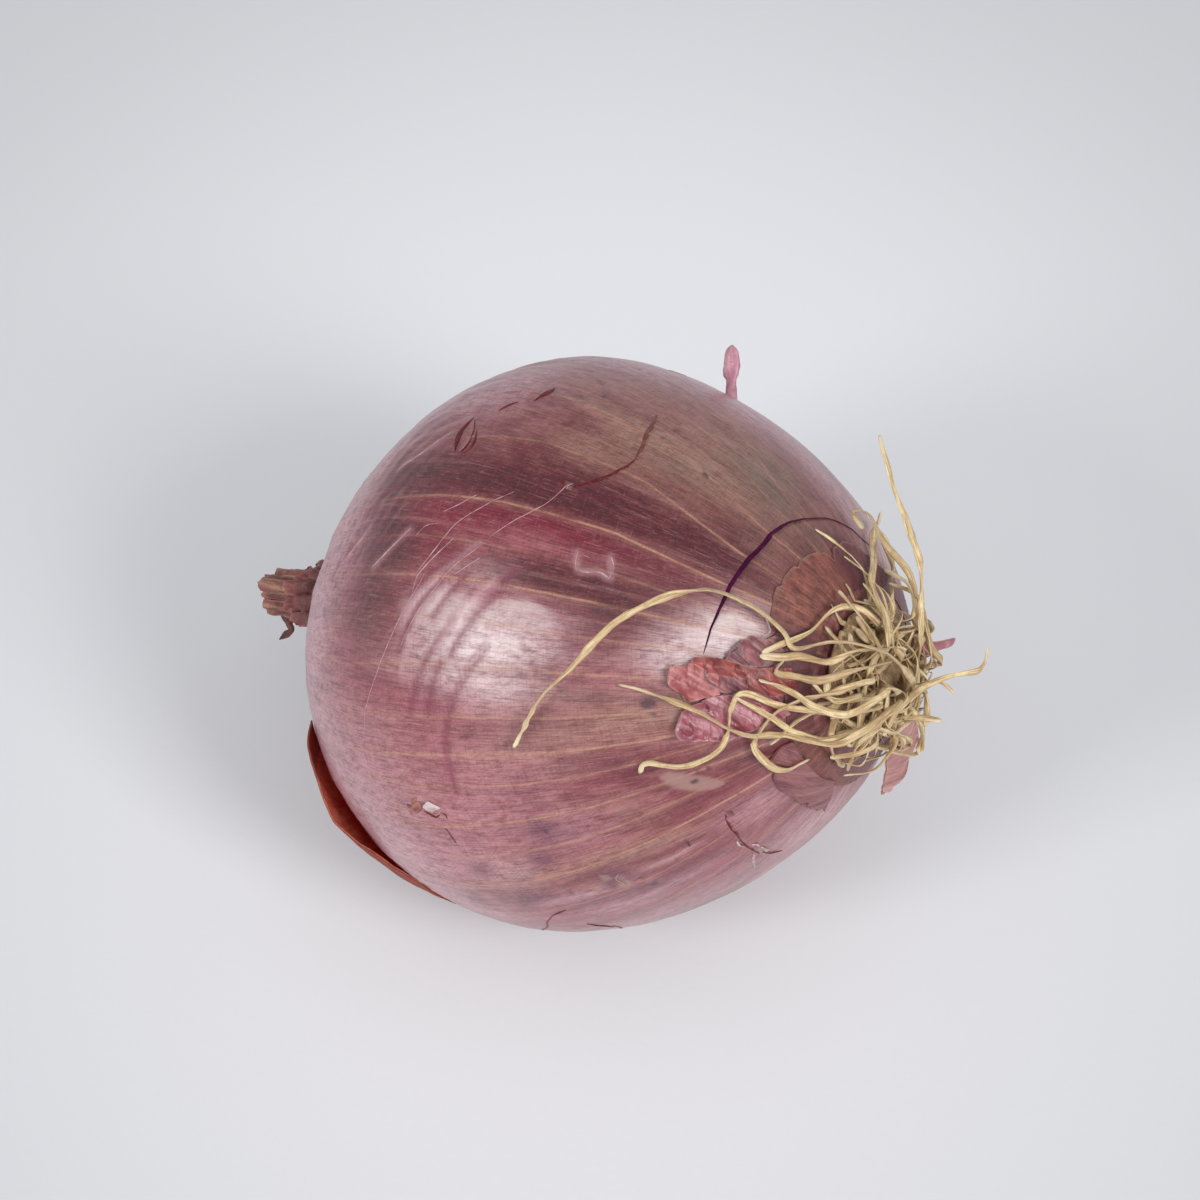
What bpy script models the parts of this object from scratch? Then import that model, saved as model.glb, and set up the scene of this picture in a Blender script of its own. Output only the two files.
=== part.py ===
"""Red onion lying on its side, with its dry roots, neck and loose bits of skin.

Lengths are in metres, +Z is up. The origin is the centre of the small flat spot
that the onion rests on. The root end points to +X and upwards, the dry neck to -X.

A place on the bulb is given by two numbers. "along" is the distance from the
middle of the onion's axis, positive towards the roots. "turn" is the angle round
that axis in degrees: 0 is the upper side and 90 the side that faces -Y.
"""
import math
import random

import bmesh
import bpy
from mathutils import Matrix, Vector

MM = 0.001

# Bulb
GIRTH_RADIUS = 38.7 * MM        # half of the 77 mm equator
ROOT_END = 43.4 * MM            # where the bulb's outline would close at the roots
NECK_END = 41.9 * MM            # and at the neck
TAPER = (-0.138, -0.117, 0.113)  # how the half-ellipse outline narrows at its ends
LEAN = 3.4 * MM                 # the two ends lean this far off the axis, opposite ways
LEAN_TURN = 131.0
TILT = 22.8                     # degrees that the root end is tipped up
ROOT_FACE = 41.3 * MM           # flat face that carries the basal plate
NECK_FACE = 40.2 * MM           # flat face that carries the neck
RESTING_DEPTH = 0.6 * MM        # depth of the flat spot in the lower side
BALANCE_POINT = Vector((-0.8 * MM, -0.1 * MM))   # from the bulb's middle, seen from above
BULB_ROWS = 32

# Ribs: the veins of the outer skin stand a little proud of it
SEEN_VEINS = (-30, -14, 1, 16, 33, 50, 59, 67, 74, 83, 97)
HIDDEN_VEINS = 15
RIB_HEIGHT = 0.28 * MM

# Gaps between neighbouring pieces, and the thickness of loose skin
GAP = 0.3 * MM
SKIN = 0.6 * MM

# Basal plate and roots
PLATE_RADIUS = 9.4 * MM
PLATE_HEIGHT = 3.0 * MM
PLATE_OUTLINE = ((0, 0.93), (0.2, 1.0), (0.5, 0.93), (0.8, 0.72), (1, 0.4))  # shares of both
PLATE_SIDES = 24
ROOT_SIDES = 4
ROOT_STEP = 2.6 * MM
ROOT_RADIUS = 0.52 * MM
THIN_ROOT_RADIUS = 0.36 * MM
ROOT_CLEARANCE = 0.95 * MM      # from a root's middle line to the bulb's surface
TIP_NARROWING = 0.45            # share of its radius that a root loses towards its tip
FILLER_ROOTS = 32
FILLER_START = (2.0, 7.5)       # mm from the axis where a filler root leaves the plate
FILLER_REACH = (9.5, 13.5)      # mm from the axis where it ends
FILLER_RISE = (4.5, 6.5)        # mm that it first grows outwards
FILLER_TWIST = 0.7              # radians that it may swing round the axis
FLAKE_TURNS = ((175, 212), (220, 265))   # no fillers here: the low and the side flake stand there
ROOT_SEED = 7

# Each root is a route through points given in millimetres from the middle of the
# root face: outwards along the axis, sideways towards turn 90, and towards turn 0.
LONG_ROOTS = {
    "long_arch": [(2, 3, -4), (6.4, -1, -2), (8, 2.5, 6.5), (7, 4.5, 10), (3.6, 7, 13), (-0.5, 9, 12.5),
                  (-2, 8.5, 15), (-5, 9.5, 20), (-9, 13.5, 25), (-15, 21.5, 26), (-20.5, 28, 22),
                  (-24, 31, 19.5), (-27.5, 35, 14.5)],
    "long_left": [(2, 0, -5), (6.4, 2, -2), (7.2, 6, 0), (6.2, 11, 1), (3, 13.5, 1), (-1.5, 16, 4),
                  (-4, 19.5, 7), (-8, 22, 13), (-13.5, 24, 17), (-16, 24.5, 18)],
    "hook_left": [(2, 2, 1), (6, 5.5, 0.5), (4.5, 11, 4.5), (-1, 14, 7), (-4, 17, 11.5), (-5, 19, 10.5),
                  (-6.5, 22, 6.5), (-10, 25.5, 6), (-13.5, 28, 8), (-14.5, 29, 7)],
    "strap_cross": [(2, 6, -2), (5.5, 9, 0), (2.5, 13, 1), (-0.5, 14.5, 3), (-2, 16, 7), (-4.5, 18, 12)],
    "low_v": [(2, 2, 3), (6.8, 5.5, 5.5), (6, 8, 7), (3.6, 11, 7.5), (0, 12.5, 7), (-2, 16, 7),
              (-3.5, 19, 5), (-3, 18.5, 1), (-2.5, 17, -1.5), (-1, 14, -2.5)],
    "tall": [(2, -5, -6), (5.5, -5.5, 0), (6.5, -7, 5), (7, -9.5, 11), (6.5, -10.5, 18), (5.5, -12, 25),
             (4, -14.5, 28.5)],
    "back_loop": [(2, -4, -2.5), (4, -5.5, 0.5), (4.5, -8, 2.5), (3.5, -11, 7), (1, -11.5, 12),
                  (-1.5, -13, 15.5), (-3.5, -12.5, 16), (-2.5, -12.5, 13.5)],
    "stiff_up": [(2, 1, 2), (6.5, 1, 6.5), (4.5, -2.5, 9), (1.5, -6, 10.5), (-1, -10.5, 10),
                 (-3, -14.5, 10.5), (-6, -20, 8.5)],
    "right_reach": [(2, 0, -6), (5, 1, -4), (9, -0.5, -1), (12, -2, 0), (14, -5.5, -2), (14, -8.5, -1)],
    "low_loop": [(2, -2, -5), (5, 0, -4.5), (6.5, 0.5, -6), (6, 0, -10), (4.5, 1, -13), (4, 3.5, -10.5),
                 (3, 6.5, -6)],
}
SHORT_ROOTS = {
    "v_left_low": [(2, 0, 4), (6.2, 1, 6), (6, 5, 10), (3.6, 8.5, 10.5), (-0.5, 9, 11), (-2, 11, 12.5),
                   (-3.5, 12.5, 14)],
    "v_left_top": [(2, -3, 5), (4.5, -1, 9), (3, 0, 12), (1, 2, 13), (-0.5, 5.5, 12.5), (-1.7, 9, 13.5),
                   (-3.5, 12, 14)],
    "loop_mid": [(2, 0, 3), (7.5, 2.5, 6), (6.7, 7.5, 9), (3.6, 10.5, 9.5), (0, 11, 9.5), (-2, 12.5, 11.5),
                 (-1.8, 10.5, 12)],
    "tip_mid": [(2, 1, 0), (7.4, 4.5, 3), (7.3, 8, 4), (5.6, 11.5, 5), (2.5, 13, 7), (0, 12.5, 8),
                (-1.5, 13.5, 10.5), (-3, 14.5, 12)],
    "short_strap": [(2, 7, 3), (3.5, 11, 5), (0.5, 12.7, 4.5), (-1.8, 15.5, 3.7), (-2.8, 17.5, 3.5)],
    "v_bottom_right": [(2, 1, -3), (5.7, 6, -2), (4.5, 10, -2), (1, 10.5, -7)],
    "v_bottom_left": [(1, 7, 1), (2.5, 12, 1), (1.5, 12, -3), (0, 9.5, -8)],
    "pale_low": [(2, 0, -1), (6.5, 1, -2), (6.7, 4, -2), (5.5, 6.5, -4)],
    "hub_arch": [(2, 1, -3), (7.3, 3, 1), (7.5, 5, 3.5), (5, 5.5, 0)],
    "drop": [(1, 1, 7.5), (2.8, 4, 11), (4, 6, 10), (4.8, 9, 7), (4.5, 8, 5)],
    "under_loop": [(1, 5.5, 5.5), (2.8, 9.5, 8), (3.8, 10.5, 6), (5.4, 7, 4)],
    "curly_up": [(2, -4, 3), (3.8, -5, 7), (0, -11, 6), (-1.8, -14.5, 6), (-4, -17, 8.5)],
    "right_stub": [(2, 0, -6), (5, 1, -6), (7.5, 0.5, -6), (9.5, -0.5, -7)],
    "right_drop": [(2, -4, -5), (7, -2, -4), (7.5, -1, -5.5), (7, 0, -8)],
}
THIN_ROOTS = {
    "thin_dark": [(1, -4, 6), (0, -7, 10), (-1.4, -7.5, 12.5), (-4.8, -6.5, 18)],
    "frayed": [(1, -4, 8), (0.5, -7, 10), (-1.8, -6.5, 14)],
    "right_split": [(2, -2, -5), (6, -2.5, -3), (10, -2.5, -2), (11, -3, -4)],
    "thin_right": [(2, -7, -5), (6, -6, -3), (6, -7.5, 1.5), (5.5, -8.5, 3.5)],
}

# Dry neck
NECK_LENGTH = 21.0 * MM
NECK_FLARE = 9.2 * MM
NECK_WAIST = 3.5 * MM
NECK_TIP = 4.6 * MM
NECK_SIDES = 22
NECK_ROWS = 11
NECK_RISE = 2.0 * MM            # how far the neck bends towards turn 0
NECK_FOLDS = 7                  # leaf edges that flute it
NECK_TWIST = 0.5                # radians from foot to tip
NECK_FLATNESS = 0.85            # thickness against width
NECK_RAGGED = (-2.2 * MM, 1.4 * MM)   # how much shorter or longer its torn tips are
NECK_HOLLOW = 2.5 * MM          # depth of the dent between the tips

# Loose skin: each piece is a net of places (along mm, turn degrees, lift mm)
# over the bulb, from the edge that holds on to the edge that is free.
RED_FLAKE = [
    [(39.0, 44, 0.4), (38.8, 54, 0.4), (38.6, 64, 0.4), (38.6, 74, 0.4)],
    [(36.5, 41, 0.4), (36.4, 52, 0.9), (36.2, 62, 0.5), (36.0, 72, 0.4)],
    [(34.0, 41, 0.5), (34.0, 50, 1.3), (33.8, 59, 0.5), (33.6, 70, 0.9)],
    [(31.8, 42, 0.8), (31.8, 49, 1.0), (32.2, 56, 0.4), (32.0, 68, 1.2)],
    [(29.9, 43, 1.3), (30.6, 50, 0.8), (31.6, 55, 0.4), (31.0, 67, 1.6)],
]
PINK_SCRAP = [
    [(39.6, 84, 0.4), (39.8, 100, 0.4), (39.8, 116, 0.4), (39.8, 132, 0.4)],
    [(38.4, 83, 0.5), (38.2, 99, 0.5), (38.2, 117, 0.5), (38.0, 138, 0.4)],
    [(37.2, 86, 0.9), (36.4, 100, 0.5), (36.8, 118, 0.6), (36.4, 140, 0.8)],
]
LOW_FLAKE = [
    [(40.3, -178, 0.6), (40.2, -168, 0.6), (40.2, -158, 0.6), (40.3, -148, 0.6)],
    [(39.6, -180, 2.0), (39.6, -170, 2.6), (39.6, -160, 2.8), (39.6, -152, 2.2)],
    [(38.4, -182, 3.6), (38.6, -172, 4.6), (38.8, -162, 5.0), (38.8, -154, 4.2)],
    [(36.6, -180, 4.2), (37.4, -171, 6.4), (37.6, -164, 5.8), (38.4, -157, 6.4)],
]
SIDE_FLAKE = [
    [(41.0, -128, 0.4), (41.0, -116, 0.4), (41.0, -104, 0.4)],
    [(43.0, -124, 8.0), (43.2, -115, 8.6), (43.4, -106, 8.4)],
    [(45.4, -119, 11.0), (45.8, -114, 11.6), (46.2, -110, 11.4)],
    [(48.2, -114, 13.2), (48.4, -112, 13.4), (48.6, -110, 13.4)],
]
SKIN_FLAP = [
    [(-29, 128, 0.4), (-24, 136, 0.4), (-18, 140, 0.4), (-11, 140, 0.4), (-5, 138, 0.4)],
    [(-31, 112, 0.4), (-26, 120, 0.6), (-19, 127, 0.6), (-12, 130, 0.4), (-6, 130, 0.4)],
    [(-31, 98, 0.5), (-26.5, 106, 1.6), (-20, 114, 1.6), (-13.5, 120, 0.8), (-8, 122, 0.4)],
    [(-30, 86, 0.7), (-26, 94, 2.9), (-21, 104, 2.6), (-15.5, 112, 1.1), (-11, 116, 0.4)],
    [(-29, 77, 0.9), (-25.5, 85, 3.1), (-22, 95, 3.3), (-17.5, 105, 1.4), (-13.5, 111, 0.4)],
]
NET_SUBDIVISION = 3

# Curl of skin standing on the upper side: (height, half width, half thickness) in mm
CURL_ALONG = 9.6
CURL_TURN = -57.0
CURL_SECTIONS = [(0.3, 1.5, 0.9), (1.4, 1.0, 0.6), (2.6, 0.85, 0.55), (3.8, 1.3, 0.7),
                 (5.0, 1.25, 0.75), (6.2, 0.8, 0.6), (7.0, 0.7, 0.5)]
CURL_SIDES = 10


def clear_scene():
    for obj in list(bpy.data.objects):
        bpy.data.objects.remove(obj, do_unlink=True)


def material(name, colour, roughness):
    mat = bpy.data.materials.new(name)
    mat.use_nodes = True
    shader = mat.node_tree.nodes["Principled BSDF"]
    shader.inputs["Base Color"].default_value = (*colour, 1.0)
    shader.inputs["Roughness"].default_value = roughness
    shader.inputs["Metallic"].default_value = 0.0
    return mat


def add_object(name, bm, mat):
    """Close the mesh's winding, name the object and give it its material."""
    bmesh.ops.recalc_face_normals(bm, faces=bm.faces)
    mesh = bpy.data.meshes.new(name)
    bm.to_mesh(mesh)
    bm.free()
    mesh.shade_smooth()
    mesh.set_sharp_from_angle(angle=math.radians(50))
    mesh.materials.append(mat)
    obj = bpy.data.objects.new(name, mesh)
    bpy.context.collection.objects.link(obj)
    return obj


def close_rings(bm, rings):
    """Join rings of points into one closed body, with a face on the first and the last."""
    for low, high in zip(rings, rings[1:]):
        for n in range(len(low)):
            m = (n + 1) % len(low)
            bm.faces.new((low[n], low[m], high[m], high[n]))
    bm.faces.new(rings[0])
    bm.faces.new(rings[-1])


def pose():
    """Matrix that lays the onion down: axis tipped up, balance point over the origin."""
    tip_up = Matrix.Rotation(math.radians(-TILT), 4, 'Y')
    shift = Vector((-BALANCE_POINT.x, -BALANCE_POINT.y, resting_height()))
    return Matrix.Translation(shift) @ tip_up


def girth(along):
    """Radius of the bulb at a place on its axis."""
    half = (ROOT_END + NECK_END) / 2
    u = (along - (ROOT_END - NECK_END) / 2) / half
    u = max(-1.0, min(1.0, u))
    a, b, c = TAPER
    return GIRTH_RADIUS * math.sqrt(1 - u * u) * (1 + a * u + b * u * u + c * u ** 3)


def centre_line(along):
    """The bulb's middle line leans one way at the roots and the other at the neck."""
    end = ROOT_END if along > 0 else NECK_END
    share = max(-1.0, min(1.0, along / end))
    lean = -LEAN * share * abs(share)
    turn = math.radians(LEAN_TURN)
    return Vector((along, -lean * math.sin(turn), lean * math.cos(turn)))


def on_bulb(along, turn, lift=0.0):
    """Point over the bulb, before the onion is laid down."""
    angle = math.radians(turn)
    radius = girth(along) + lift
    return centre_line(along) + Vector((0, -radius * math.sin(angle), radius * math.cos(angle)))


def resting_height():
    """Height of the bulb's middle when its lower side is cut by the flat spot."""
    slope = math.radians(TILT)
    lowest = 0.0
    for row in range(-200, 201):
        along = row / 200 * NECK_END
        for turn in range(165, 196):
            p = on_bulb(along, turn)
            lowest = min(lowest, p.x * math.sin(slope) + p.z * math.cos(slope))
    return -lowest - RESTING_DEPTH


def vein_turns():
    """Veins seen on the near side, then evenly spread ones with a little disorder."""
    rng = random.Random(3)
    first = SEEN_VEINS[-1]
    gap = (360 + SEEN_VEINS[0] - first) / (HIDDEN_VEINS + 1)
    hidden = [first + gap * (k + 1) + rng.uniform(-2.5, 2.5) for k in range(HIDDEN_VEINS)]
    return sorted([t % 360 for t in SEEN_VEINS] + [t % 360 for t in hidden])


def bulb():
    """The swollen bulb: ribbed body with a face for the roots and one for the neck."""
    veins = vein_turns()
    columns = []
    for k, turn in enumerate(veins):
        following = veins[(k + 1) % len(veins)] + (360 if k + 1 == len(veins) else 0)
        columns += [(turn, RIB_HEIGHT), ((turn + following) / 2, 0.0)]
    bm = bmesh.new()
    start = math.asin(-NECK_FACE / NECK_END)
    end = math.asin(ROOT_FACE / ROOT_END)
    rings = []
    for row in range(BULB_ROWS + 1):
        swing = start + (end - start) * row / BULB_ROWS
        along = math.sin(swing) * (ROOT_END if swing > 0 else NECK_END)
        fade = math.cos(swing)
        rings.append([bm.verts.new(on_bulb(along, turn, rib * fade)) for turn, rib in columns])
    close_rings(bm, rings)
    bm.transform(pose())
    cut_flat_spot(bm)
    return add_object("bulb", bm, material("onion_skin", (0.36, 0.12, 0.17), 0.38))


def cut_flat_spot(bm):
    """Slice the lowest part off at z = 0 and close it with one flat face."""
    geom = bm.verts[:] + bm.edges[:] + bm.faces[:]
    cut = bmesh.ops.bisect_plane(bm, geom=geom, plane_co=(0, 0, 0), plane_no=(0, 0, 1),
                                 clear_inner=True, dist=1e-6)
    rim = [e for e in cut["geom_cut"] if isinstance(e, bmesh.types.BMEdge)]
    bmesh.ops.edgeloop_fill(bm, edges=rim)


def route_points(route):
    """Smooth curve through the route's points, sampled at even steps."""
    pts = [Vector(p) * MM for p in route]
    pts = [pts[0] * 2 - pts[1]] + pts + [pts[-1] * 2 - pts[-2]]
    out = []
    for a, b, c, d in zip(pts, pts[1:], pts[2:], pts[3:]):
        steps = max(1, round((c - b).length / ROOT_STEP))
        for k in range(steps):
            t = k / steps
            out.append(0.5 * (2 * b + (c - a) * t + (2 * a - 5 * b + 4 * c - d) * t * t
                              + (3 * b - a - 3 * c + d) * t ** 3))
    out.append(pts[-2])
    return out


def keep_clear(point):
    """Move a root's point off the bulb where it comes too near to it."""
    if point.x > ROOT_FACE:
        return point
    middle = centre_line(point.x)
    off = point - middle
    wanted = girth(point.x) + ROOT_CLEARANCE + ROOT_RADIUS
    return point if off.length >= wanted else middle + off.normalized() * wanted


def root_tube(route, radius):
    """One root: a slim tube that narrows towards its tip."""
    base = centre_line(ROOT_FACE)
    line = []
    for p in route_points(route):
        line.append(keep_clear(base + Vector((p.x, -p.y, p.z))))
    bm = bmesh.new()
    rings = []
    side = Vector((0.3, 0.5, 0.8))
    for k, p in enumerate(line):
        ahead = (line[min(k + 1, len(line) - 1)] - line[max(k - 1, 0)]).normalized()
        side = (side - ahead * side.dot(ahead)).normalized()
        across = ahead.cross(side)
        r = radius * (1.0 - TIP_NARROWING * (k / (len(line) - 1)) ** 2)
        ring = []
        for n in range(ROOT_SIDES):
            a = 2 * math.pi * n / ROOT_SIDES
            ring.append(bm.verts.new(p + (side * math.cos(a) + across * math.sin(a)) * r))
        rings.append(ring)
    close_rings(bm, rings)
    return bm


def filler_routes():
    """Shorter roots between the long ones: out of the plate, then bent over its rim."""
    rng = random.Random(ROOT_SEED)
    routes = []
    for k in range(FILLER_ROOTS):
        degrees = 360 * (k + rng.uniform(-0.3, 0.3)) / FILLER_ROOTS
        if any(low < degrees < high for low, high in FLAKE_TURNS):
            continue
        turn = math.radians(degrees)
        start = rng.uniform(*FILLER_START)
        reach = rng.uniform(*FILLER_REACH)
        twist = rng.uniform(-FILLER_TWIST, FILLER_TWIST)
        rise = rng.uniform(*FILLER_RISE)
        route = []
        for out, radius, part in ((1.5, start, 0), (rise, start + 1.5, 0.3),
                                  (rise * 0.7, reach - 1.5, 0.7), (rng.uniform(-0.5, 2), reach, 1)):
            a = turn + twist * part
            route.append((out, radius * math.sin(a), radius * math.cos(a)))
        routes.append(route)
    return routes


def basal_plate():
    """Low dome of hard tissue that all the roots grow from."""
    bm = bmesh.new()
    rings = []
    base = centre_line(ROOT_FACE)
    for height, share in PLATE_OUTLINE:
        ring = []
        for n in range(PLATE_SIDES):
            a = 2 * math.pi * n / PLATE_SIDES
            r = PLATE_RADIUS * share
            out = GAP + PLATE_HEIGHT * height
            ring.append(bm.verts.new(base + Vector((out, -r * math.sin(a), r * math.cos(a)))))
        rings.append(ring)
    close_rings(bm, rings)
    return bm


def root_tuft():
    """Basal plate and all its roots, grown together as one body."""
    straw = material("root_straw", (0.56, 0.43, 0.22), 0.7)
    plate = add_object("root_tuft", basal_plate(), straw)
    strands = bpy.data.collections.new("strands")
    bpy.context.scene.collection.children.link(strands)
    sets = [(list(LONG_ROOTS.values()), ROOT_RADIUS), (list(SHORT_ROOTS.values()), ROOT_RADIUS),
            (list(THIN_ROOTS.values()), THIN_ROOT_RADIUS), (filler_routes(), ROOT_RADIUS)]
    for routes, radius in sets:
        for route in routes:
            strand = add_object("strand", root_tube(route, radius), straw)
            bpy.context.collection.objects.unlink(strand)
            strands.objects.link(strand)
    join = plate.modifiers.new("grown_together", 'BOOLEAN')
    join.operation = 'UNION'
    join.operand_type = 'COLLECTION'
    join.collection = strands
    apply_modifiers(plate)
    keep_outer_body(plate.data)
    for strand in list(strands.objects):
        bpy.data.objects.remove(strand, do_unlink=True)
    bpy.data.collections.remove(strands)
    plate.data.transform(pose())
    return plate


def apply_modifiers(obj):
    """Swap the object's mesh for the one its modifiers make."""
    graph = bpy.context.evaluated_depsgraph_get()
    mesh = bpy.data.meshes.new_from_object(obj.evaluated_get(graph))
    obj.modifiers.clear()
    obj.data = mesh


def keep_outer_body(mesh):
    """Fill the hollows that crossing roots seal off: only the outer surface stays."""
    bm = bmesh.new()
    bm.from_mesh(mesh)
    left = set(bm.faces)
    surfaces = []
    while left:
        surface = []
        waiting = [left.pop()]
        while waiting:
            face = waiting.pop()
            surface.append(face)
            for neighbour in {f for edge in face.edges for f in edge.link_faces} & left:
                left.remove(neighbour)
                waiting.append(neighbour)
        surfaces.append(surface)
    surfaces.sort(key=len)
    for surface in surfaces[:-1]:
        bmesh.ops.delete(bm, geom=surface, context='FACES')
    bm.to_mesh(mesh)
    bm.free()


def neck():
    """Dry leaf bases drawn together into a short, fluted, ragged stub."""
    rng = random.Random(11)
    bm = bmesh.new()
    base = centre_line(-NECK_FACE)
    ragged = [rng.uniform(*NECK_RAGGED) for _ in range(NECK_SIDES)]
    rings = []
    for row in range(NECK_ROWS + 1):
        t = row / NECK_ROWS
        flare = NECK_WAIST + (NECK_FLARE - NECK_WAIST) * (1 - t) ** 6
        radius = flare + (NECK_TIP - NECK_WAIST) * t ** 3
        ring = []
        for n in range(NECK_SIDES):
            a = 2 * math.pi * n / NECK_SIDES + NECK_TWIST * t
            flute = 1 + (0.10 + 0.12 * t) * math.cos(a * NECK_FOLDS) * (1 if row else 0)
            reach = GAP + NECK_LENGTH * t + ragged[n] * t ** 6
            rise = NECK_RISE * t * t
            wide = -radius * flute * math.sin(a)
            high = radius * flute * NECK_FLATNESS * math.cos(a)
            ring.append(bm.verts.new(base + Vector((-reach, wide, high + rise))))
        rings.append(ring)
    middle = base + Vector((NECK_HOLLOW - NECK_LENGTH, 0, NECK_RISE))
    hollow = [bm.verts.new(middle.lerp(tip.co, 0.45)) for tip in rings[-1]]
    rings.append(hollow)
    close_rings(bm, rings)
    bm.transform(pose())
    return add_object("neck", bm, material("dry_neck", (0.30, 0.13, 0.09), 0.75))


def curve_value(values, t):
    """Smooth curve through evenly spaced vectors, read at t from 0 to 1."""
    place = t * (len(values) - 1)
    k = min(int(place), len(values) - 2)
    f = place - k
    b, c = values[k], values[k + 1]
    a = values[k - 1] if k else b * 2 - c
    d = values[k + 2] if k + 2 < len(values) else c * 2 - b
    return 0.5 * (2 * b + (c - a) * f + (2 * a - 5 * b + 4 * c - d) * f * f
                  + (3 * b - a - 3 * c + d) * f ** 3)


def loose_skin(name, net, colour, roughness):
    """Thin torn piece of skin over the bulb, thickened outwards from its net of places."""
    rows = [[Vector(p) for p in row] for row in net]
    across = (len(rows[0]) - 1) * NET_SUBDIVISION
    down = (len(rows) - 1) * NET_SUBDIVISION
    bm = bmesh.new()
    inner, outer = [], []
    for i in range(down + 1):
        inner_row, outer_row = [], []
        for j in range(across + 1):
            line = [curve_value(row, j / across) for row in rows]
            along, turn, lift = curve_value(line, i / down)
            inner_row.append(bm.verts.new(on_bulb(along * MM, turn, max(lift * MM, GAP))))
            outer_row.append(bm.verts.new(on_bulb(along * MM, turn, max(lift * MM, GAP) + SKIN)))
        inner.append(inner_row)
        outer.append(outer_row)
    for i in range(down):
        for j in range(across):
            for sheet in (inner, outer):
                a, b, c, d = sheet[i][j], sheet[i][j + 1], sheet[i + 1][j + 1], sheet[i + 1][j]
                bm.faces.new((a, b, c))
                bm.faces.new((a, c, d))
    rim = [(i, 0) for i in range(down)] + [(down, j) for j in range(across)]
    rim += [(i, across) for i in range(down, 0, -1)] + [(0, j) for j in range(across, 0, -1)]
    for (i, j), (k, m) in zip(rim, rim[1:] + rim[:1]):
        bm.faces.new((inner[i][j], inner[k][m], outer[k][m], outer[i][j]))
    bm.transform(pose())
    return add_object(name, bm, material(name + "_skin", colour, roughness))


def skin_curl():
    """Small dry curl of skin, standing up like a peg with a waist."""
    foot = on_bulb(CURL_ALONG * MM, CURL_TURN)
    upright = (foot - centre_line(CURL_ALONG * MM)).normalized()
    wide = Vector((1, 0, 0))
    thick = upright.cross(wide).normalized()
    wide = thick.cross(upright)
    bm = bmesh.new()
    rings = []
    for height, half_width, half_thickness in CURL_SECTIONS:
        ring = []
        for n in range(CURL_SIDES):
            a = 2 * math.pi * n / CURL_SIDES
            spread = wide * math.cos(a) * half_width + thick * math.sin(a) * half_thickness
            ring.append(bm.verts.new(foot + (upright * (height + 0.2) + spread) * MM))
        rings.append(ring)
    close_rings(bm, rings)
    bm.transform(pose())
    return add_object("skin_curl", bm, material("curl_skin", (0.55, 0.27, 0.32), 0.6))


def main():
    clear_scene()
    bulb()
    root_tuft()
    neck()
    loose_skin("red_flake", RED_FLAKE, (0.42, 0.09, 0.08), 0.35)
    loose_skin("pink_scrap", PINK_SCRAP, (0.46, 0.22, 0.20), 0.6)
    loose_skin("low_flake", LOW_FLAKE, (0.50, 0.22, 0.18), 0.6)
    loose_skin("side_flake", SIDE_FLAKE, (0.52, 0.24, 0.24), 0.6)
    loose_skin("skin_flap", SKIN_FLAP, (0.28, 0.07, 0.03), 0.5)
    skin_curl()


main()
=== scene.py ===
# %% [markdown]
# A red onion on its side
# The onion lies on a small flat spot with its root end tipped up. This lesson dresses
# the plain solids of the onion with papery skin, veins, cracks, straw-like roots and
# torn flakes. Places on the bulb are given by two numbers. "along" is the distance in
# millimetres from the bulb's middle towards the roots. "turn" is the angle round the
# bulb's axis in degrees: 0 is the upper side and 90 the side that faces the viewer.

# %% Load the fixed frame
import math
import random

import bpy
import numpy as np
from mathutils import Matrix, Vector


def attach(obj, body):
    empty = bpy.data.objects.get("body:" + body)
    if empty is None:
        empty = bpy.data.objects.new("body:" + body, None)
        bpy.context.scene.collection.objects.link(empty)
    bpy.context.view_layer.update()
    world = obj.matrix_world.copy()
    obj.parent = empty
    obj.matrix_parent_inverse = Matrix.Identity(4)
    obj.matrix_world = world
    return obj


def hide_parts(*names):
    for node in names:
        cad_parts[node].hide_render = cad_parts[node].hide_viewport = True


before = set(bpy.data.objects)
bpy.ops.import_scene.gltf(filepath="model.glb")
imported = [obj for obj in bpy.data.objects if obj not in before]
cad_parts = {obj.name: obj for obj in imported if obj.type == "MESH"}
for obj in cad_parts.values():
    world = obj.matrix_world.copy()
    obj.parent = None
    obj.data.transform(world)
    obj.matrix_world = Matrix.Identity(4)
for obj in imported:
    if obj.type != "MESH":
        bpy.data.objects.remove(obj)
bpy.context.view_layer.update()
MM = 0.001
print("solids in the frame:", ", ".join(sorted(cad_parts)))

# %% [markdown]
# The camera looks down on the onion, as someone standing at a table would. A long lens
# keeps the bulb round. The camera is placed by two angles and a distance, so its view
# can be read from three numbers.

# %% Camera
CAMERA_TURN = 31.5        # degrees round the onion, from its front
CAMERA_RISE = 52.0        # degrees above the table
CAMERA_DISTANCE = 452.9   # millimetres, as all lengths here that aren't called metres
CAMERA_SHIFT = (-0.72, 6.59)   # how far right and up of the bulb's middle it aims
CAMERA_LENS, CAMERA_SENSOR = 100, 36
BULB_MIDDLE = Vector((0.8, 0.1, 39.6))


def camera_axes():
    """Right, up and backward directions of the camera."""
    turn, rise = math.radians(CAMERA_TURN), math.radians(CAMERA_RISE)
    back = Vector((math.sin(turn) * math.cos(rise), -math.cos(turn) * math.cos(rise), math.sin(rise)))
    right = Vector((math.cos(turn), math.sin(turn), 0))
    return right, back.cross(right), back


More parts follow.
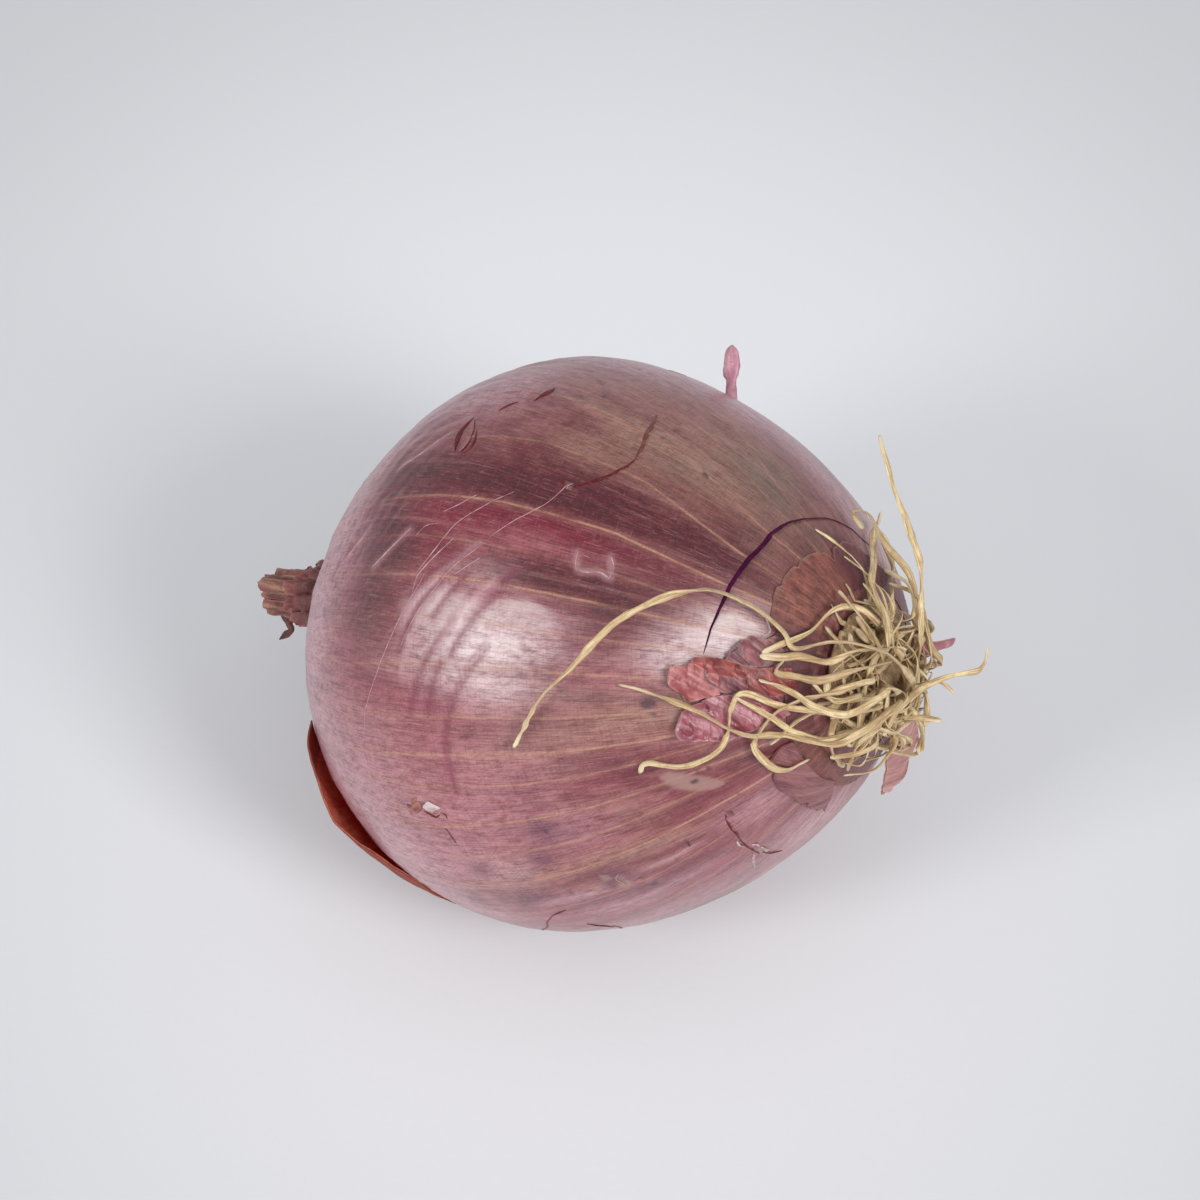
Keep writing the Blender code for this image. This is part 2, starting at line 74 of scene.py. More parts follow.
def place_camera():
    right, up, back = camera_axes()
    aim = BULB_MIDDLE + right * CAMERA_SHIFT[0] + up * CAMERA_SHIFT[1]
    lens = bpy.data.cameras.new("camera")
    lens.lens = CAMERA_LENS
    lens.sensor_width = CAMERA_SENSOR
    lens.clip_start = 0.01
    obj = bpy.data.objects.new("camera", lens)
    facing = Matrix((right, up, back)).transposed().to_quaternion()
    obj.matrix_world = Matrix.LocRotScale((aim + back * CAMERA_DISTANCE) * MM, facing, None)
    bpy.context.scene.collection.objects.link(obj)
    bpy.context.scene.camera = obj
    print("camera at", [round(v, 3) for v in obj.location])


place_camera()
bpy.context.scene.view_settings.view_transform = "Standard"

# %% [markdown]
# Shaders are built from small nodes. A few helpers keep each recipe short: one makes a
# node and plugs values or other sockets into it, and the others name the jobs that come
# back often, such as reading a field from the mesh or mixing two colours.

# %% Helpers for shaders


class Finish:
    """A material whose nodes are added one by one."""

    def __init__(self, name):
        self.material = bpy.data.materials.new(name)
        self.material.use_nodes = True
        self.tree = self.material.node_tree
        self.shader = self.tree.nodes["Principled BSDF"]

    def node(self, kind, inputs, **settings):
        made = self.tree.nodes.new("ShaderNode" + kind)
        for key, value in settings.items():
            setattr(made, key, value)
        for key, value in inputs.items():
            self.plug(made.inputs[key], value)
        return made

    def plug(self, socket, value):
        if isinstance(value, bpy.types.NodeSocket):
            self.tree.links.new(value, socket)
        else:
            socket.default_value = value

    def field(self, name, part="Fac"):
        return self.node("Attribute", {}, attribute_name=name).outputs[part]

    def maths(self, job, a, b=0.0, clamp=False):
        return self.node("Math", {0: a, 1: b}, operation=job, use_clamp=clamp).outputs[0]

    def scaled(self, value, times, plus=0.0):
        """value times a number, plus a number."""
        return self.node("Math", {0: value, 1: times, 2: plus}, operation="MULTIPLY_ADD").outputs[0]

    def stretched(self, vector, scale):
        made = self.node("VectorMath", {0: vector, 1: scale}, operation="MULTIPLY")
        return made.outputs[0]

    def turned(self, vector, degrees, scale):
        """Turned about Z, then stretched."""
        inputs = {"Vector": vector, "Angle": math.radians(degrees)}
        made = self.node("VectorRotate", inputs, rotation_type="Z_AXIS")
        return self.stretched(made.outputs[0], scale)

    def noise(self, vector, scale, detail=2.0, roughness=0.5):
        inputs = {"Vector": vector, "Scale": scale, "Detail": detail, "Roughness": roughness}
        return self.node("TexNoise", inputs).outputs["Fac"]

    def between(self, value, low, high, top=1.0):
        """0 below low, top above high and smooth in between."""
        inputs = {"Value": value, "From Min": low, "From Max": high, "To Max": top}
        made = self.node("MapRange", inputs, interpolation_type="SMOOTHSTEP")
        return made.outputs["Result"]

    def mix(self, share, a, b, blend="MIX"):
        made = self.node("Mix", {0: share}, data_type="RGBA", blend_type=blend)
        for socket, colour in ((made.inputs[6], a), (made.inputs[7], b)):
            self.plug(socket, colour if isinstance(colour, bpy.types.NodeSocket) else (*colour, 1))
        return made.outputs[2]

    def shaded(self, share, colour, by):
        """The colour times a darker or lighter tone, as far as share says."""
        return self.mix(share, colour, by, "MULTIPLY")

    def toned(self, colour, value, start, end, share, tone):
        """Darken by the tone where value falls from start to end, or mix it in where it rises."""
        amount = self.between(value, start, end, share)
        return self.shaded(amount, colour, tone) if end < start else self.mix(amount, colour, tone)

    def bump(self, height, depth, below=None):
        """Relief depth mm deep, over the relief below it."""
        inputs = {"Height": height, "Distance": depth * MM, "Strength": 1.0}
        if below:
            inputs["Normal"] = below
        return self.node("Bump", inputs).outputs["Normal"]

    def set(self, **values):
        """Plug values into the main shader. Underscores stand for spaces."""
        for key, value in values.items():
            if isinstance(value, tuple) and len(value) == 3:
                value = (*value, 1)
            self.plug(self.shader.inputs[key.replace("_", " ")], value)
        print("finish", self.material.name, "with", len(self.tree.nodes), "nodes")
        return self.material

# %% [markdown]
# A plain pale floor and soft light let the skin speak for itself. Two large softboxes
# stand to the right and to the left of the onion, and a pale world fills the shadows.
# The floor's colour is painted a little darker towards its edges, a painted shade like
# the falloff away from studio lamps. The world is a little brighter to the front, to the
# right and near the horizon, as in a room with white walls, and this keeps the onion's
# shadows open there.

# %% Floor and light
FLOOR_COLOUR = (0.785, 0.792, 0.81)
# colour at the floor's edges: painted shade, darker away from the lamps
FLOOR_EDGE_SHADE = (0.59, 0.595, 0.61)
FLOOR_MIDDLE = (-0.020, 0.033, 0.0)
FLOOR_TURN, FLOOR_OVAL = -31.5, (1.0, 0.79, 1.0)
FLOOR_FADE = (0.032, 0.16)      # metres from the middle where the floor starts and ends to darken
FLOOR_HALF = 2.0
# direction, distance, size and power of each lamp
SOFTBOXES = {
    "right_softbox": ((0.73, -0.22, 0.64), 1.6, 0.52, 11.4),
    "left_softbox": ((-0.30, -0.76, 0.57), 1.6, 0.42, 7.4),
}
WORLD_COLOUR = (0.95, 0.965, 1.0)
WORLD_STRENGTH = 0.65
WORLD_SLOPE = (0.15, -0.38, -0.45)    # brighter to the front, the right and the horizon


def pale_floor():
    finish = Finish("pale_floor")
    place = finish.node("TexCoord", {}).outputs["Object"]
    centred = finish.node("VectorMath", {0: place, 1: FLOOR_MIDDLE}, operation="SUBTRACT").outputs[0]
    turned = finish.turned(centred, FLOOR_TURN, FLOOR_OVAL)
    away = finish.node("VectorMath", {0: turned}, operation="LENGTH").outputs["Value"]
    # painted shade: the floor's colour darkens towards its edges
    colour = finish.mix(finish.between(away, *FLOOR_FADE), FLOOR_COLOUR, FLOOR_EDGE_SHADE)
    grain = finish.noise(place, 900.0)
    material = finish.set(Base_Color=colour, Roughness=0.85, Specular_IOR_Level=0.2,
                          Normal=finish.bump(grain, 0.02))
    mesh = bpy.data.meshes.new("floor")
    corners = [(x * FLOOR_HALF, y * FLOOR_HALF, 0) for x, y in ((-1, -1), (1, -1), (1, 1), (-1, 1))]
    mesh.from_pydata(corners, [], [(0, 1, 2, 3)])
    mesh.materials.append(material)
    floor = bpy.data.objects.new("floor", mesh)
    bpy.context.scene.collection.objects.link(floor)


def hang_softboxes():
    for name, (direction, distance, size, watts) in SOFTBOXES.items():
        light = bpy.data.lights.new(name, "AREA")
        light.shape = "SQUARE"
        light.size = size
        light.energy = watts
        lamp = bpy.data.objects.new(name, light)
        away = Vector(direction).normalized()
        lamp.location = BULB_MIDDLE * MM + away * distance
        lamp.rotation_euler = away.to_track_quat("Z", "Y").to_euler()
        bpy.context.scene.collection.objects.link(lamp)
    print("softboxes:", ", ".join(SOFTBOXES))


def brighten_world():
    world = bpy.data.worlds.new("studio")
    world.use_nodes = True
    background = world.node_tree.nodes["Background"]
    background.inputs["Color"].default_value = (*WORLD_COLOUR, 1)
    place = world.node_tree.nodes.new("ShaderNodeTexCoord")
    slope = world.node_tree.nodes.new("ShaderNodeVectorMath")
    slope.operation = "DOT_PRODUCT"
    slope.inputs[1].default_value = WORLD_SLOPE
    share = world.node_tree.nodes.new("ShaderNodeMath")
    share.operation = "MULTIPLY_ADD"
    share.inputs[1].default_value = WORLD_STRENGTH
    share.inputs[2].default_value = WORLD_STRENGTH * (1 - WORLD_SLOPE[2] * 2 / 3)
    world.node_tree.links.new(place.outputs["Generated"], slope.inputs[0])
    world.node_tree.links.new(slope.outputs["Value"], share.inputs[0])
    world.node_tree.links.new(share.outputs[0], background.inputs["Strength"])
    bpy.context.scene.world = world


pale_floor()
hang_softboxes()
brighten_world()

# %% [markdown]
# The bulb is not a ball. Its outline is half an ellipse that narrows more at the neck,
# and its two ends lean a little off the axis. A formula for that outline serves every
# piece: skin, cracks, flakes and roots can all be placed on the bulb or just over it.

# %% The bulb's outline
GIRTH_RADIUS = 38.7
ROOT_END, NECK_END = 43.4, 41.9
ROOT_FACE, NECK_FACE = 41.3, 40.2
TAPER = (-0.138, -0.117, 0.113)
LEAN, LEAN_TURN = 3.4, 131.0
TILT = 22.8
RESTING_DEPTH = 0.6


def girth(along):
    """Radius of the bulb at a place on its axis."""
    half = (ROOT_END + NECK_END) / 2
    u = np.clip((along - (ROOT_END - NECK_END) / 2) / half, -1, 1)
    a, b, c = TAPER
    return GIRTH_RADIUS * np.sqrt(1 - u * u) * (1 + a * u + b * u * u + c * u ** 3)


def centre_line(along):
    """The bulb's middle line leans one way at the roots and the other at the neck."""
    share = np.clip(along / np.where(along > 0, ROOT_END, NECK_END), -1, 1)
    lean = -LEAN * share * np.abs(share)
    turn = math.radians(LEAN_TURN)
    return np.stack([along, -lean * math.sin(turn), lean * math.cos(turn)], -1)


def on_bulb(along, turn, lift=0.0):
    """Points over the bulb, before the onion is laid down."""
    along, turn, lift = np.broadcast_arrays(np.asarray(along, float), turn, lift)
    angle = np.radians(turn)
    radius = girth(along) + lift
    return centre_line(along) + np.stack([0 * radius, -radius * np.sin(angle), radius * np.cos(angle)], -1)


def resting_height():
    """Height of the bulb's middle above the table."""
    along, turn = np.meshgrid(np.linspace(-NECK_END, NECK_END, 401), np.arange(165, 196))
    p = on_bulb(along, turn)
    slope = math.radians(TILT)
    return -(p[..., 0] * math.sin(slope) + p[..., 2] * math.cos(slope)).min() - RESTING_DEPTH


RESTING_HEIGHT = resting_height()


def lay_down(points):
    """Tip the root end up and set the onion on the table."""
    s, c = math.sin(math.radians(TILT)), math.cos(math.radians(TILT))
    x, y, z = points[..., 0], points[..., 1], points[..., 2]
    return np.stack([x * c - z * s + BULB_MIDDLE.x, y + BULB_MIDDLE.y, x * s + z * c + RESTING_HEIGHT], -1)


print("middle of the bulb stands", round(float(RESTING_HEIGHT), 2), "mm over the table")

# %% [markdown]
# Meshes come from grids of points. One helper turns points, faces and named fields into
# an object that rides on the frame. A second joins a grid into faces, and a third closes
# a tube of rings with a point at each end. A fourth gives a grid a thickness, which makes
# a closed sheet, as thin as real onion skin. A flat sheet with a solidify modifier would
# do as well, but here each point keeps its own fields for the finish.

# %% Helpers for meshes


def add_piece(name, points, faces, finish, fields, replaces=None, slot=None):
    """Points in millimetres, already laid down, become a mesh object on the frame."""
    mesh = bpy.data.meshes.new(name)
    mesh.from_pydata((points * MM).tolist(), [], faces)
    mesh.shade_smooth()
    for key, values in fields.items():
        kind = "FLOAT_VECTOR" if values.ndim == 2 else "FLOAT"
        layer = mesh.attributes.new(key, kind, "POINT")
        layer.data.foreach_set("vector" if values.ndim == 2 else "value", values.astype(np.float32).ravel())
    mesh.materials.append(finish)
    obj = bpy.data.objects.new(name, mesh)
    bpy.context.scene.collection.objects.link(obj)
    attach(obj, "root")
    if replaces:
        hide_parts(replaces)
    print(name, "has", len(points), "points and", len(faces), "faces")


def grid_faces(rows, columns, wrapped=False):
    """Four-sided faces between the points of a grid, numbered row by row."""
    wide = columns if wrapped else columns - 1
    r, c = np.meshgrid(np.arange(rows - 1), np.arange(wide), indexing="ij")
    d = (c + 1) % columns
    return np.stack([r * columns + c, r * columns + d, (r + 1) * columns + d, (r + 1) * columns + c],
                    -1).reshape(-1, 4)


def capped_faces(rings, columns):
    """Faces of a tube of rings, closed by the two points that follow them."""
    count = rings * columns
    last = count - columns
    faces = [tuple(f) for f in grid_faces(rings, columns, True).tolist()]
    faces += [(count, (c + 1) % columns, c) for c in range(columns)]
    faces += [(count + 1, last + c, last + (c + 1) % columns) for c in range(columns)]
    return faces


def unit(vectors):
    """The same directions, each one long."""
    return vectors / np.maximum(np.linalg.norm(vectors, axis=-1, keepdims=True), 1e-9)


def grid_normals(points, wrapped=False):
    """Direction that points away from the sheet at each point of a grid."""
    down = np.gradient(points, axis=0)
    if wrapped:
        across = np.roll(points, -1, 1) - np.roll(points, 1, 1)
    else:
        across = np.gradient(points, axis=1)
    return unit(np.cross(down, across))


def closed_sheet(points, thickness, wrapped=False):
    """Both faces and the rim of a thin sheet: points, faces, and 1 for the under side."""
    rows, columns = points.shape[:2]
    half = grid_normals(points, wrapped) * np.asarray(thickness)[..., None] / 2
    every = np.concatenate([(points + half).reshape(-1, 3), (points - half).reshape(-1, 3)])
    top = grid_faces(rows, columns, wrapped)
    under = top[:, ::-1] + rows * columns
    rims = []
    edges = [[(0, c) for c in range(columns)][::-1], [(rows - 1, c) for c in range(columns)]]
    if wrapped:
        edges = [edge + edge[:1] for edge in edges]
    else:
        edges = [edges[1] + [(r, columns - 1) for r in range(rows - 2, -1, -1)] + edges[0][1:]
                 + [(r, 0) for r in range(1, rows)]]
    for edge in edges:
        spots = [r * columns + c for r, c in edge]
        rims += [(a, b, b + rows * columns, a + rows * columns) for a, b in zip(spots, spots[1:])]
    faces = [tuple(f) for f in top.tolist()] + [tuple(f) for f in under.tolist()]
    faces += [f[::-1] for f in rims]
    side = np.repeat([0.0, 1.0], rows * columns)
    return every, faces, side


def twice(values):
    """The same field for both faces of a closed sheet."""
    flat = values.reshape(-1, *values.shape[2:])
    return np.concatenate([flat, flat])


# %% [markdown]
# Roots, cracks and scratches are lines. A few places are joined by a smooth curve, and a
# flat oval is swept along it. A curve object with a bevel would be quicker, but it can't
# twist, widen and carry fields as freely. A bunch then gathers many such small bodies
# into one mesh, and a smooth random field gives lumps and waves that are the same each run.

# %% Helpers for lines


def smooth_line(points, step):
    """Smooth curve through the points, sampled about every step."""
    pts = np.asarray(points, float)
    pts = np.concatenate([[pts[0] * 2 - pts[1]], pts, [pts[-1] * 2 - pts[-2]]])
    out = []
    for a, b, c, d in zip(pts, pts[1:], pts[2:], pts[3:]):
        steps = max(1, round(float(np.linalg.norm(c - b)) / step))
        for t in np.arange(steps) / steps:
            out.append(0.5 * (2 * b + (c - a) * t + (2 * a - 5 * b + 4 * c - d) * t * t
                              + (3 * b - a - 3 * c + d) * t ** 3))
    out.append(pts[-2])
    return np.array(out)


def swept(line, facing, half_width, half_thickness, sides=8, ridges=0.0):
    """A flat oval swept along a line. facing is the direction of its thin side."""
    ahead = unit(np.gradient(line, axis=0))
    thin = unit(facing - ahead * (facing * ahead).sum(1, keepdims=True))
    wide = np.cross(ahead, thin)
    around = np.arange(sides) / sides * 2 * math.pi
    groove = 1 - ridges * (np.arange(sides) % 2)
    out = (np.cos(around) * groove)[None, :, None] * half_width[:, None, None]
    up = (np.sin(around) * groove)[None, :, None] * half_thickness[:, None, None]
    rings = line[:, None] + wide[:, None] * out + thin[:, None] * up
    points = np.concatenate([rings.reshape(-1, 3), line[:1], line[-1:]])
    return points, capped_faces(len(line), sides)


def travelled(line):
    """Distance along a line at each of its points."""
    steps = np.linalg.norm(np.diff(line, axis=0), axis=1)
    return np.concatenate([[0.0], np.cumsum(steps)])


# %% Bunches and random fields


class Bunch:
    """Many small bodies gathered into one mesh, each with its own fields."""

    def __init__(self):
        self.points, self.faces, self.fields, self.count = [], [], {}, 0

    def add(self, points, faces, **fields):
        self.faces += [tuple(i + self.count for i in f) for f in faces]
        self.points.append(points)
        for key, values in fields.items():
            values = np.asarray(values, float)
            if values.ndim == 0:
                values = np.full(len(points), float(values))
            self.fields.setdefault(key, []).append(values)
        self.count += len(points)

    def finish(self, name, finish, **links):
        fields = {key: np.concatenate(values) for key, values in self.fields.items()}
        add_piece(name, np.concatenate(self.points), self.faces, finish, fields, **links)


def cloud(points, size, seed):
    """Smooth random field from -1 to 1, with lumps about size mm across."""
    cell = points / size + seed * 17.3
    corner = np.floor(cell)
    f = cell - corner
    f = f * f * (3 - 2 * f)
    total = np.zeros(points.shape[:-1])
    for step in np.ndindex(2, 2, 2):
        value = np.sin((corner + step) @ np.array((127.1, 311.7, 74.7))) * 43758.5453 % 1.0
        weight = np.prod(np.where(np.array(step) == 1, f, 1 - f), axis=-1)
        total += weight * (value * 2 - 1)
    return total

# %% [markdown]
# Veins run from the neck to the roots in the outer skin. Each vein is a row of turns at
# five places along the bulb, so it can wander a little. The mesh is laid out with its
# columns along the veins, closer together on the side that is seen most, so that a vein
# is always a clean line of points. The veins on the far side are spread by a rule.

# %% Veins and the grid of the skin
STATIONS = np.array((-22.0, -8.0, 6.0, 20.0, 33.0))
# turns at the stations, strength of its colour, height of the skin there
VEINS = [
    ((-54, -54, -53, -51, -46), 0.3, 0.10),
    ((-38, -38, -37, -34.5, -23), 0.4, 0.15),
    ((-27, -27, -27, -24.5, -17), 0.35, 0.05),
    ((-12, -13, -13.4, -13.7, -6.5), 0.8, 0.22),
    ((7, 4, 0.2, -0.2, 6.2), 0.75, 0.15),
    ((20, 18, 15.7, 15, 18), 1.0, 0.25),
    ((28, 26, 24.5, 24.2, 26), 0.35, -0.05),
    ((35.5, 34, 32, 31.9, 32.8), 0.8, 0.25),
    ((46, 41.8, 40, 40, 40.3), 0.45, 0.18),
    ((54, 51, 48.4, 48.3, 49), 0.75, 0.22),
    ((63, 60.5, 58.6, 58.2, 57.5), 0.5, 0.30),
    ((70, 68.5, 66.4, 66, 65.3), 0.9, 0.10),
    ((76, 74.5, 73.5, 72.6, 70.5), 0.6, 0.12),
    ((86, 84.6, 82.3, 81.2, 78.5), 0.85, 0.22),
    ((93, 92, 90.5, 89, 85.5), 0.5, 0.05),
    ((102, 101, 99.3, 97.5, 94), 0.85, 0.22),
    ((112, 112, 111.5, 110, 107.5), 0.45, 0.12),
    ((127, 127, 126, 123.5, 120.5), 0.4, 0.20),
]
HIDDEN_VEINS = 13
SEEN_TURNS = (-75, 150)
FINE_STEP, COARSE_STEP = 0.62, 1.5      # degrees between columns, seen and hidden
SKIN_ROWS = 214


def vein_table():
    """Turns, strengths and heights of all veins, seen ones first."""
    rng = random.Random(5)
    table = list(VEINS)
    first = VEINS[-1][0][2]
    gap = (360 + VEINS[0][0][2] - first) / (HIDDEN_VEINS + 1)
    for k in range(HIDDEN_VEINS):
        turn = first + gap * (k + 1) + rng.uniform(-2, 2)
        bend = [turn + rng.uniform(-1.5, 1.5) for _ in STATIONS]
        table.append((bend, rng.uniform(0.3, 0.9), rng.uniform(0.0, 0.25)))
    return table


def skin_grid():
    """Place of every skin point, and how it lies between its two veins."""
    swing = np.linspace(math.asin(-NECK_FACE / NECK_END), math.asin(ROOT_FACE / ROOT_END), SKIN_ROWS)
    along = np.sin(swing) * np.where(swing > 0, ROOT_END, NECK_END)
    table = vein_table()
    turns = np.stack([np.interp(along, STATIONS, v[0]) for v in table], 1)
    after = np.roll(turns, -1, 1)
    after[:, -1] += 360
    columns, owner, share = [], [], []
    for k in range(len(table)):
        step = FINE_STEP if SEEN_TURNS[0] < turns[:, k].mean() < SEEN_TURNS[1] else COARSE_STEP
        count = max(3, round((after[:, k] - turns[:, k]).mean() / step))
        for n in range(count):
            columns.append(turns[:, k] + (after[:, k] - turns[:, k]) * n / count)
            owner.append(k)
            share.append(n / count)
    return along, np.stack(columns, 1), np.array(owner), np.array(share), turns, after, table


skin_along, skin_turn, owner, share, vein_turns, next_turns, veins = skin_grid()
ALONG = np.repeat(skin_along[:, None], skin_turn.shape[1], 1)
TURN = skin_turn
SKIN = on_bulb(ALONG, TURN)


def grain_place(along, turn):
    """Millimetre coordinates of the skin as if it were a tube: fibres run along its Z."""
    angle = np.radians(turn)
    return np.stack([GIRTH_RADIUS * np.cos(angle), GIRTH_RADIUS * np.sin(angle), along + 0 * angle], -1)


GRAIN = grain_place(ALONG, TURN)
print("skin grid:", ALONG.shape, "and", len(veins), "veins")

# %% [markdown]
# Everything that shapes the skin is added up as one height over the smooth bulb: ribs
# over the veins, soft waves, silky ripples towards the neck, pleats where the skin is
# drawn together there, the creases and ridges of the wrinkled patch, and the sunken edge
# of the lower tear. A crease is a line of places on the bulb, and its height falls off
# with the distance from that line. Sculpting by hand could do the same, but a list of
# places is exact and can be changed.

# %% Lines on the skin
# Valleys of the wrinkled patch, as (along, turn) places
CREASES = [
    [(10.6, 28.5), (8.2, 35), (6.0, 41), (4.4, 46.5)],
    [(9.6, 33), (7.4, 38), (5.4, 43), (4.6, 46.5)],
    [(9.2, 44), (7.2, 49.6), (5.0, 57), (4.0, 65), (4.5, 75)],
    [(4.6, 31), (2.6, 36), (1.2, 40.5)],
    [(4.2, 40), (2.4, 45), (0.4, 51), (-1.0, 59)],
    [(3.2, 48.6), (2.4, 53), (1.6, 58.4)],
    [(1.3, 33.5), (-1.5, 39.3), (-3.2, 48)],
    [(4.2, 26), (1.6, 29.5), (-0.8, 33), (-3.0, 37)],
    [(-12.0, 16), (-14.4, 18), (-16.0, 21.5)],
    [(-16.0, 26), (-18.6, 31), (-20.4, 35)],
]
# Ridges between them, which catch the light
RIDGES = [
    [(4.7, 24.7), (2.5, 29), (0.2, 33), (-2, 38), (-3.4, 43)],
    [(8.6, 31), (6.2, 36), (4.0, 41), (2.4, 46)],
    [(2.2, 34), (-0.2, 39), (-1.8, 46), (-2.2, 52)],
    [(-6.2, 24.5), (-8.0, 28), (-10.5, 33)],
    [(-14.4, 24.5), (-16.7, 29), (-19.5, 33.6)],
    [(-7.2, -2.4), (-9.0, -0.6), (-12.0, 1.5), (-17.0, 4.5)],
    [(-8.0, 2.2), (-10.0, 6), (-12.0, 9), (-13.8, 11.2)],
    [(20.5, 20.6), (21.3, 25.7), (19.9, 24.7), (17.6, 25.4), (16.8, 21.7)],
]
ARC_CRACK = [(37.6, -56), (36.1, -44), (35.1, -36), (34.7, -28.5), (34.1, -21.7), (33.6, -14), (33.4, -7.4),
             (33.4, -1), (33.0, 8), (32.7, 21.4), (32.5, 32), (32.4, 41)]
ARC_WIDTHS = (0.16, 0.25, 0.40, 0.70, 0.96, 1.24, 1.52, 1.55, 1.32, 0.93, 0.46, 0.16)
CURVED_SLIT = [(14.0, -20.5), (14.9, -16), (15.6, -12.3), (16.4, -8.7), (17, -4.3)]
LOWER_TEAR = [(32.3, 100), (31.9, 104), (31.7, 112), (31.3, 120), (30.9, 126), (30.6, 131)]


def on_skin_line(places, step, lift=0.0):
    """Smooth line over the bulb through (along, turn) places."""
    line = smooth_line(on_bulb(*np.array(places, float).T), step)
    middle = centre_line(line[:, 0])
    out = unit(line - middle)
    lift = np.broadcast_to(lift, line.shape[:1])
    return middle + out * (girth(line[:, 0]) + lift)[:, None], out


def distance_to(line):
    """Distance in mm from every skin point to a line over the bulb."""
    nearest = np.full(ALONG.shape, 99.0)
    low, high = line.min(0) - 5, line.max(0) + 5
    near = ((SKIN > low) & (SKIN < high)).all(-1)
    spots = SKIN[near]
    best = np.full(len(spots), 99.0)
    for a, b in zip(line, line[1:]):
        run = b - a
        t = np.clip(((spots - a) @ run) / (run @ run), 0, 1)
        best = np.minimum(best, np.linalg.norm(spots - a - t[:, None] * run, axis=1))
    nearest[near] = best
    return nearest


def lines_field(lines, width):
    """1 on the lines, falling off over width mm."""
    total = np.zeros(ALONG.shape)
    for places in lines:
        total = np.maximum(total, np.exp(-(distance_to(on_skin_line(places, 1.0)[0]) / width) ** 2))
    return total


valley = lines_field(CREASES, 0.5)
ridge = lines_field(RIDGES, 0.45)
tear_edge = lines_field([LOWER_TEAR], 0.6)
print("lines on the skin:", len(CREASES), "creases and", len(RIDGES), "ridges")

# %% Height of the skin
RIB_HEIGHT = 0.17
RIPPLE_HEIGHT = 0.15
RIPPLE_TURN = 4.6         # degrees from one ripple to the next
# height, size of the lumps and squeeze along the fibres of each soft wave
WAVES = ((0.14, 11.0, 0.45), (0.06, 4.0, 0.5), (0.022, 1.2, 0.2))
PLEATS = 31
RIDGE_HEIGHT, VALLEY_DEPTH, TEAR_DEPTH = 0.11, 0.16, 0.25


def vein_distance():
    """Distance in mm to the nearest vein, and that vein's strength."""
    gap = next_turns[:, owner] - vein_turns[:, owner]
    mm_per_degree = math.radians(1) * girth(skin_along)[:, None]
    before = share[None, :] * gap * mm_per_degree
    after = (1 - share[None, :]) * gap * mm_per_degree
    strengths = np.array([v[1] for v in veins])
    strength = np.where(before < after, strengths[owner], strengths[(owner + 1) % len(veins)])
    return np.minimum(before, after), strength


def panel_height():
    """The skin is stretched between veins of unequal height."""
    heights = np.array([v[2] for v in veins])
    ends = heights[owner], heights[(owner + 1) % len(veins)]
    fade = np.clip((girth(skin_along) / GIRTH_RADIUS), 0, 1)[:, None]
    return (ends[0] + (ends[1] - ends[0]) * share)[None, :] * fade


def ripples():
    """Fine silky folds that fan out towards the neck."""
    turn = (TURN + 180) % 360 - 180
    slant = np.clip((turn + 22) * 0.055, 0, 3.2)
    bent = turn + slant * (ALONG + 5) + 2.2 * cloud(GRAIN * (1, 1, 0.4), 5.0, 7)
    where = np.clip((-3 - ALONG) / 7, 0, 1) * np.clip((ALONG + 36) / 10, 0, 1)
    uneven = 0.55 + 0.75 * cloud(GRAIN * (1, 1, 0.35), 6.0, 8)
    seen = np.exp(-((turn + 2) / 34) ** 4)
    fold = np.sin(np.radians(bent) * 360 / RIPPLE_TURN)
    return where * np.clip(uneven, 0, 1.3) * (0.25 + 0.75 * seen) * (fold + 0.35 * fold ** 3)


def skin_height():
    away, strength = vein_distance()
    height = panel_height() + RIB_HEIGHT * (0.3 + 0.7 * strength) * np.exp(-(away / 0.6) ** 2) * 0.6
    for seed, (wave, size, squeeze) in enumerate(WAVES, 1):
        height += wave * cloud(GRAIN * (1, 1, squeeze), size, seed)
    height += RIPPLE_HEIGHT * ripples()
    neck = np.clip((-30 - ALONG) / 10, 0, 1) ** 1.5
    pleats = np.cos(np.radians(TURN) * PLEATS + 2.2 * cloud(GRAIN, 14.0, 4))
    height += neck * (0.5 * pleats + 0.35 * cloud(GRAIN * (1, 1, 0.3), 2.2, 5))
    roots = np.clip((ALONG - 35) / 6, 0, 1)
    height += roots * 0.18 * cloud(GRAIN * (1, 1, 0.5), 2.4, 6)
    return height + RIDGE_HEIGHT * ridge - VALLEY_DEPTH * valley - TEAR_DEPTH * tear_edge


HEIGHT = skin_height()
print("skin height from", round(float(HEIGHT.min()), 2), "to", round(float(HEIGHT.max()), 2), "mm")


def skin_lift(along, turn):
    """Height of the finished skin at any places."""
    row = np.clip(np.searchsorted(skin_along, along) - 1, 0, len(skin_along) - 2)
    lifts = []
    for r, a, t in zip(row, along, turn):
        low, high = (np.interp(t, TURN[k], HEIGHT[k], period=360) for k in (r, r + 1))
        part = (a - skin_along[r]) / (skin_along[r + 1] - skin_along[r])
        lifts.append(low + (high - low) * np.clip(part, 0, 1))
    return np.array(lifts)
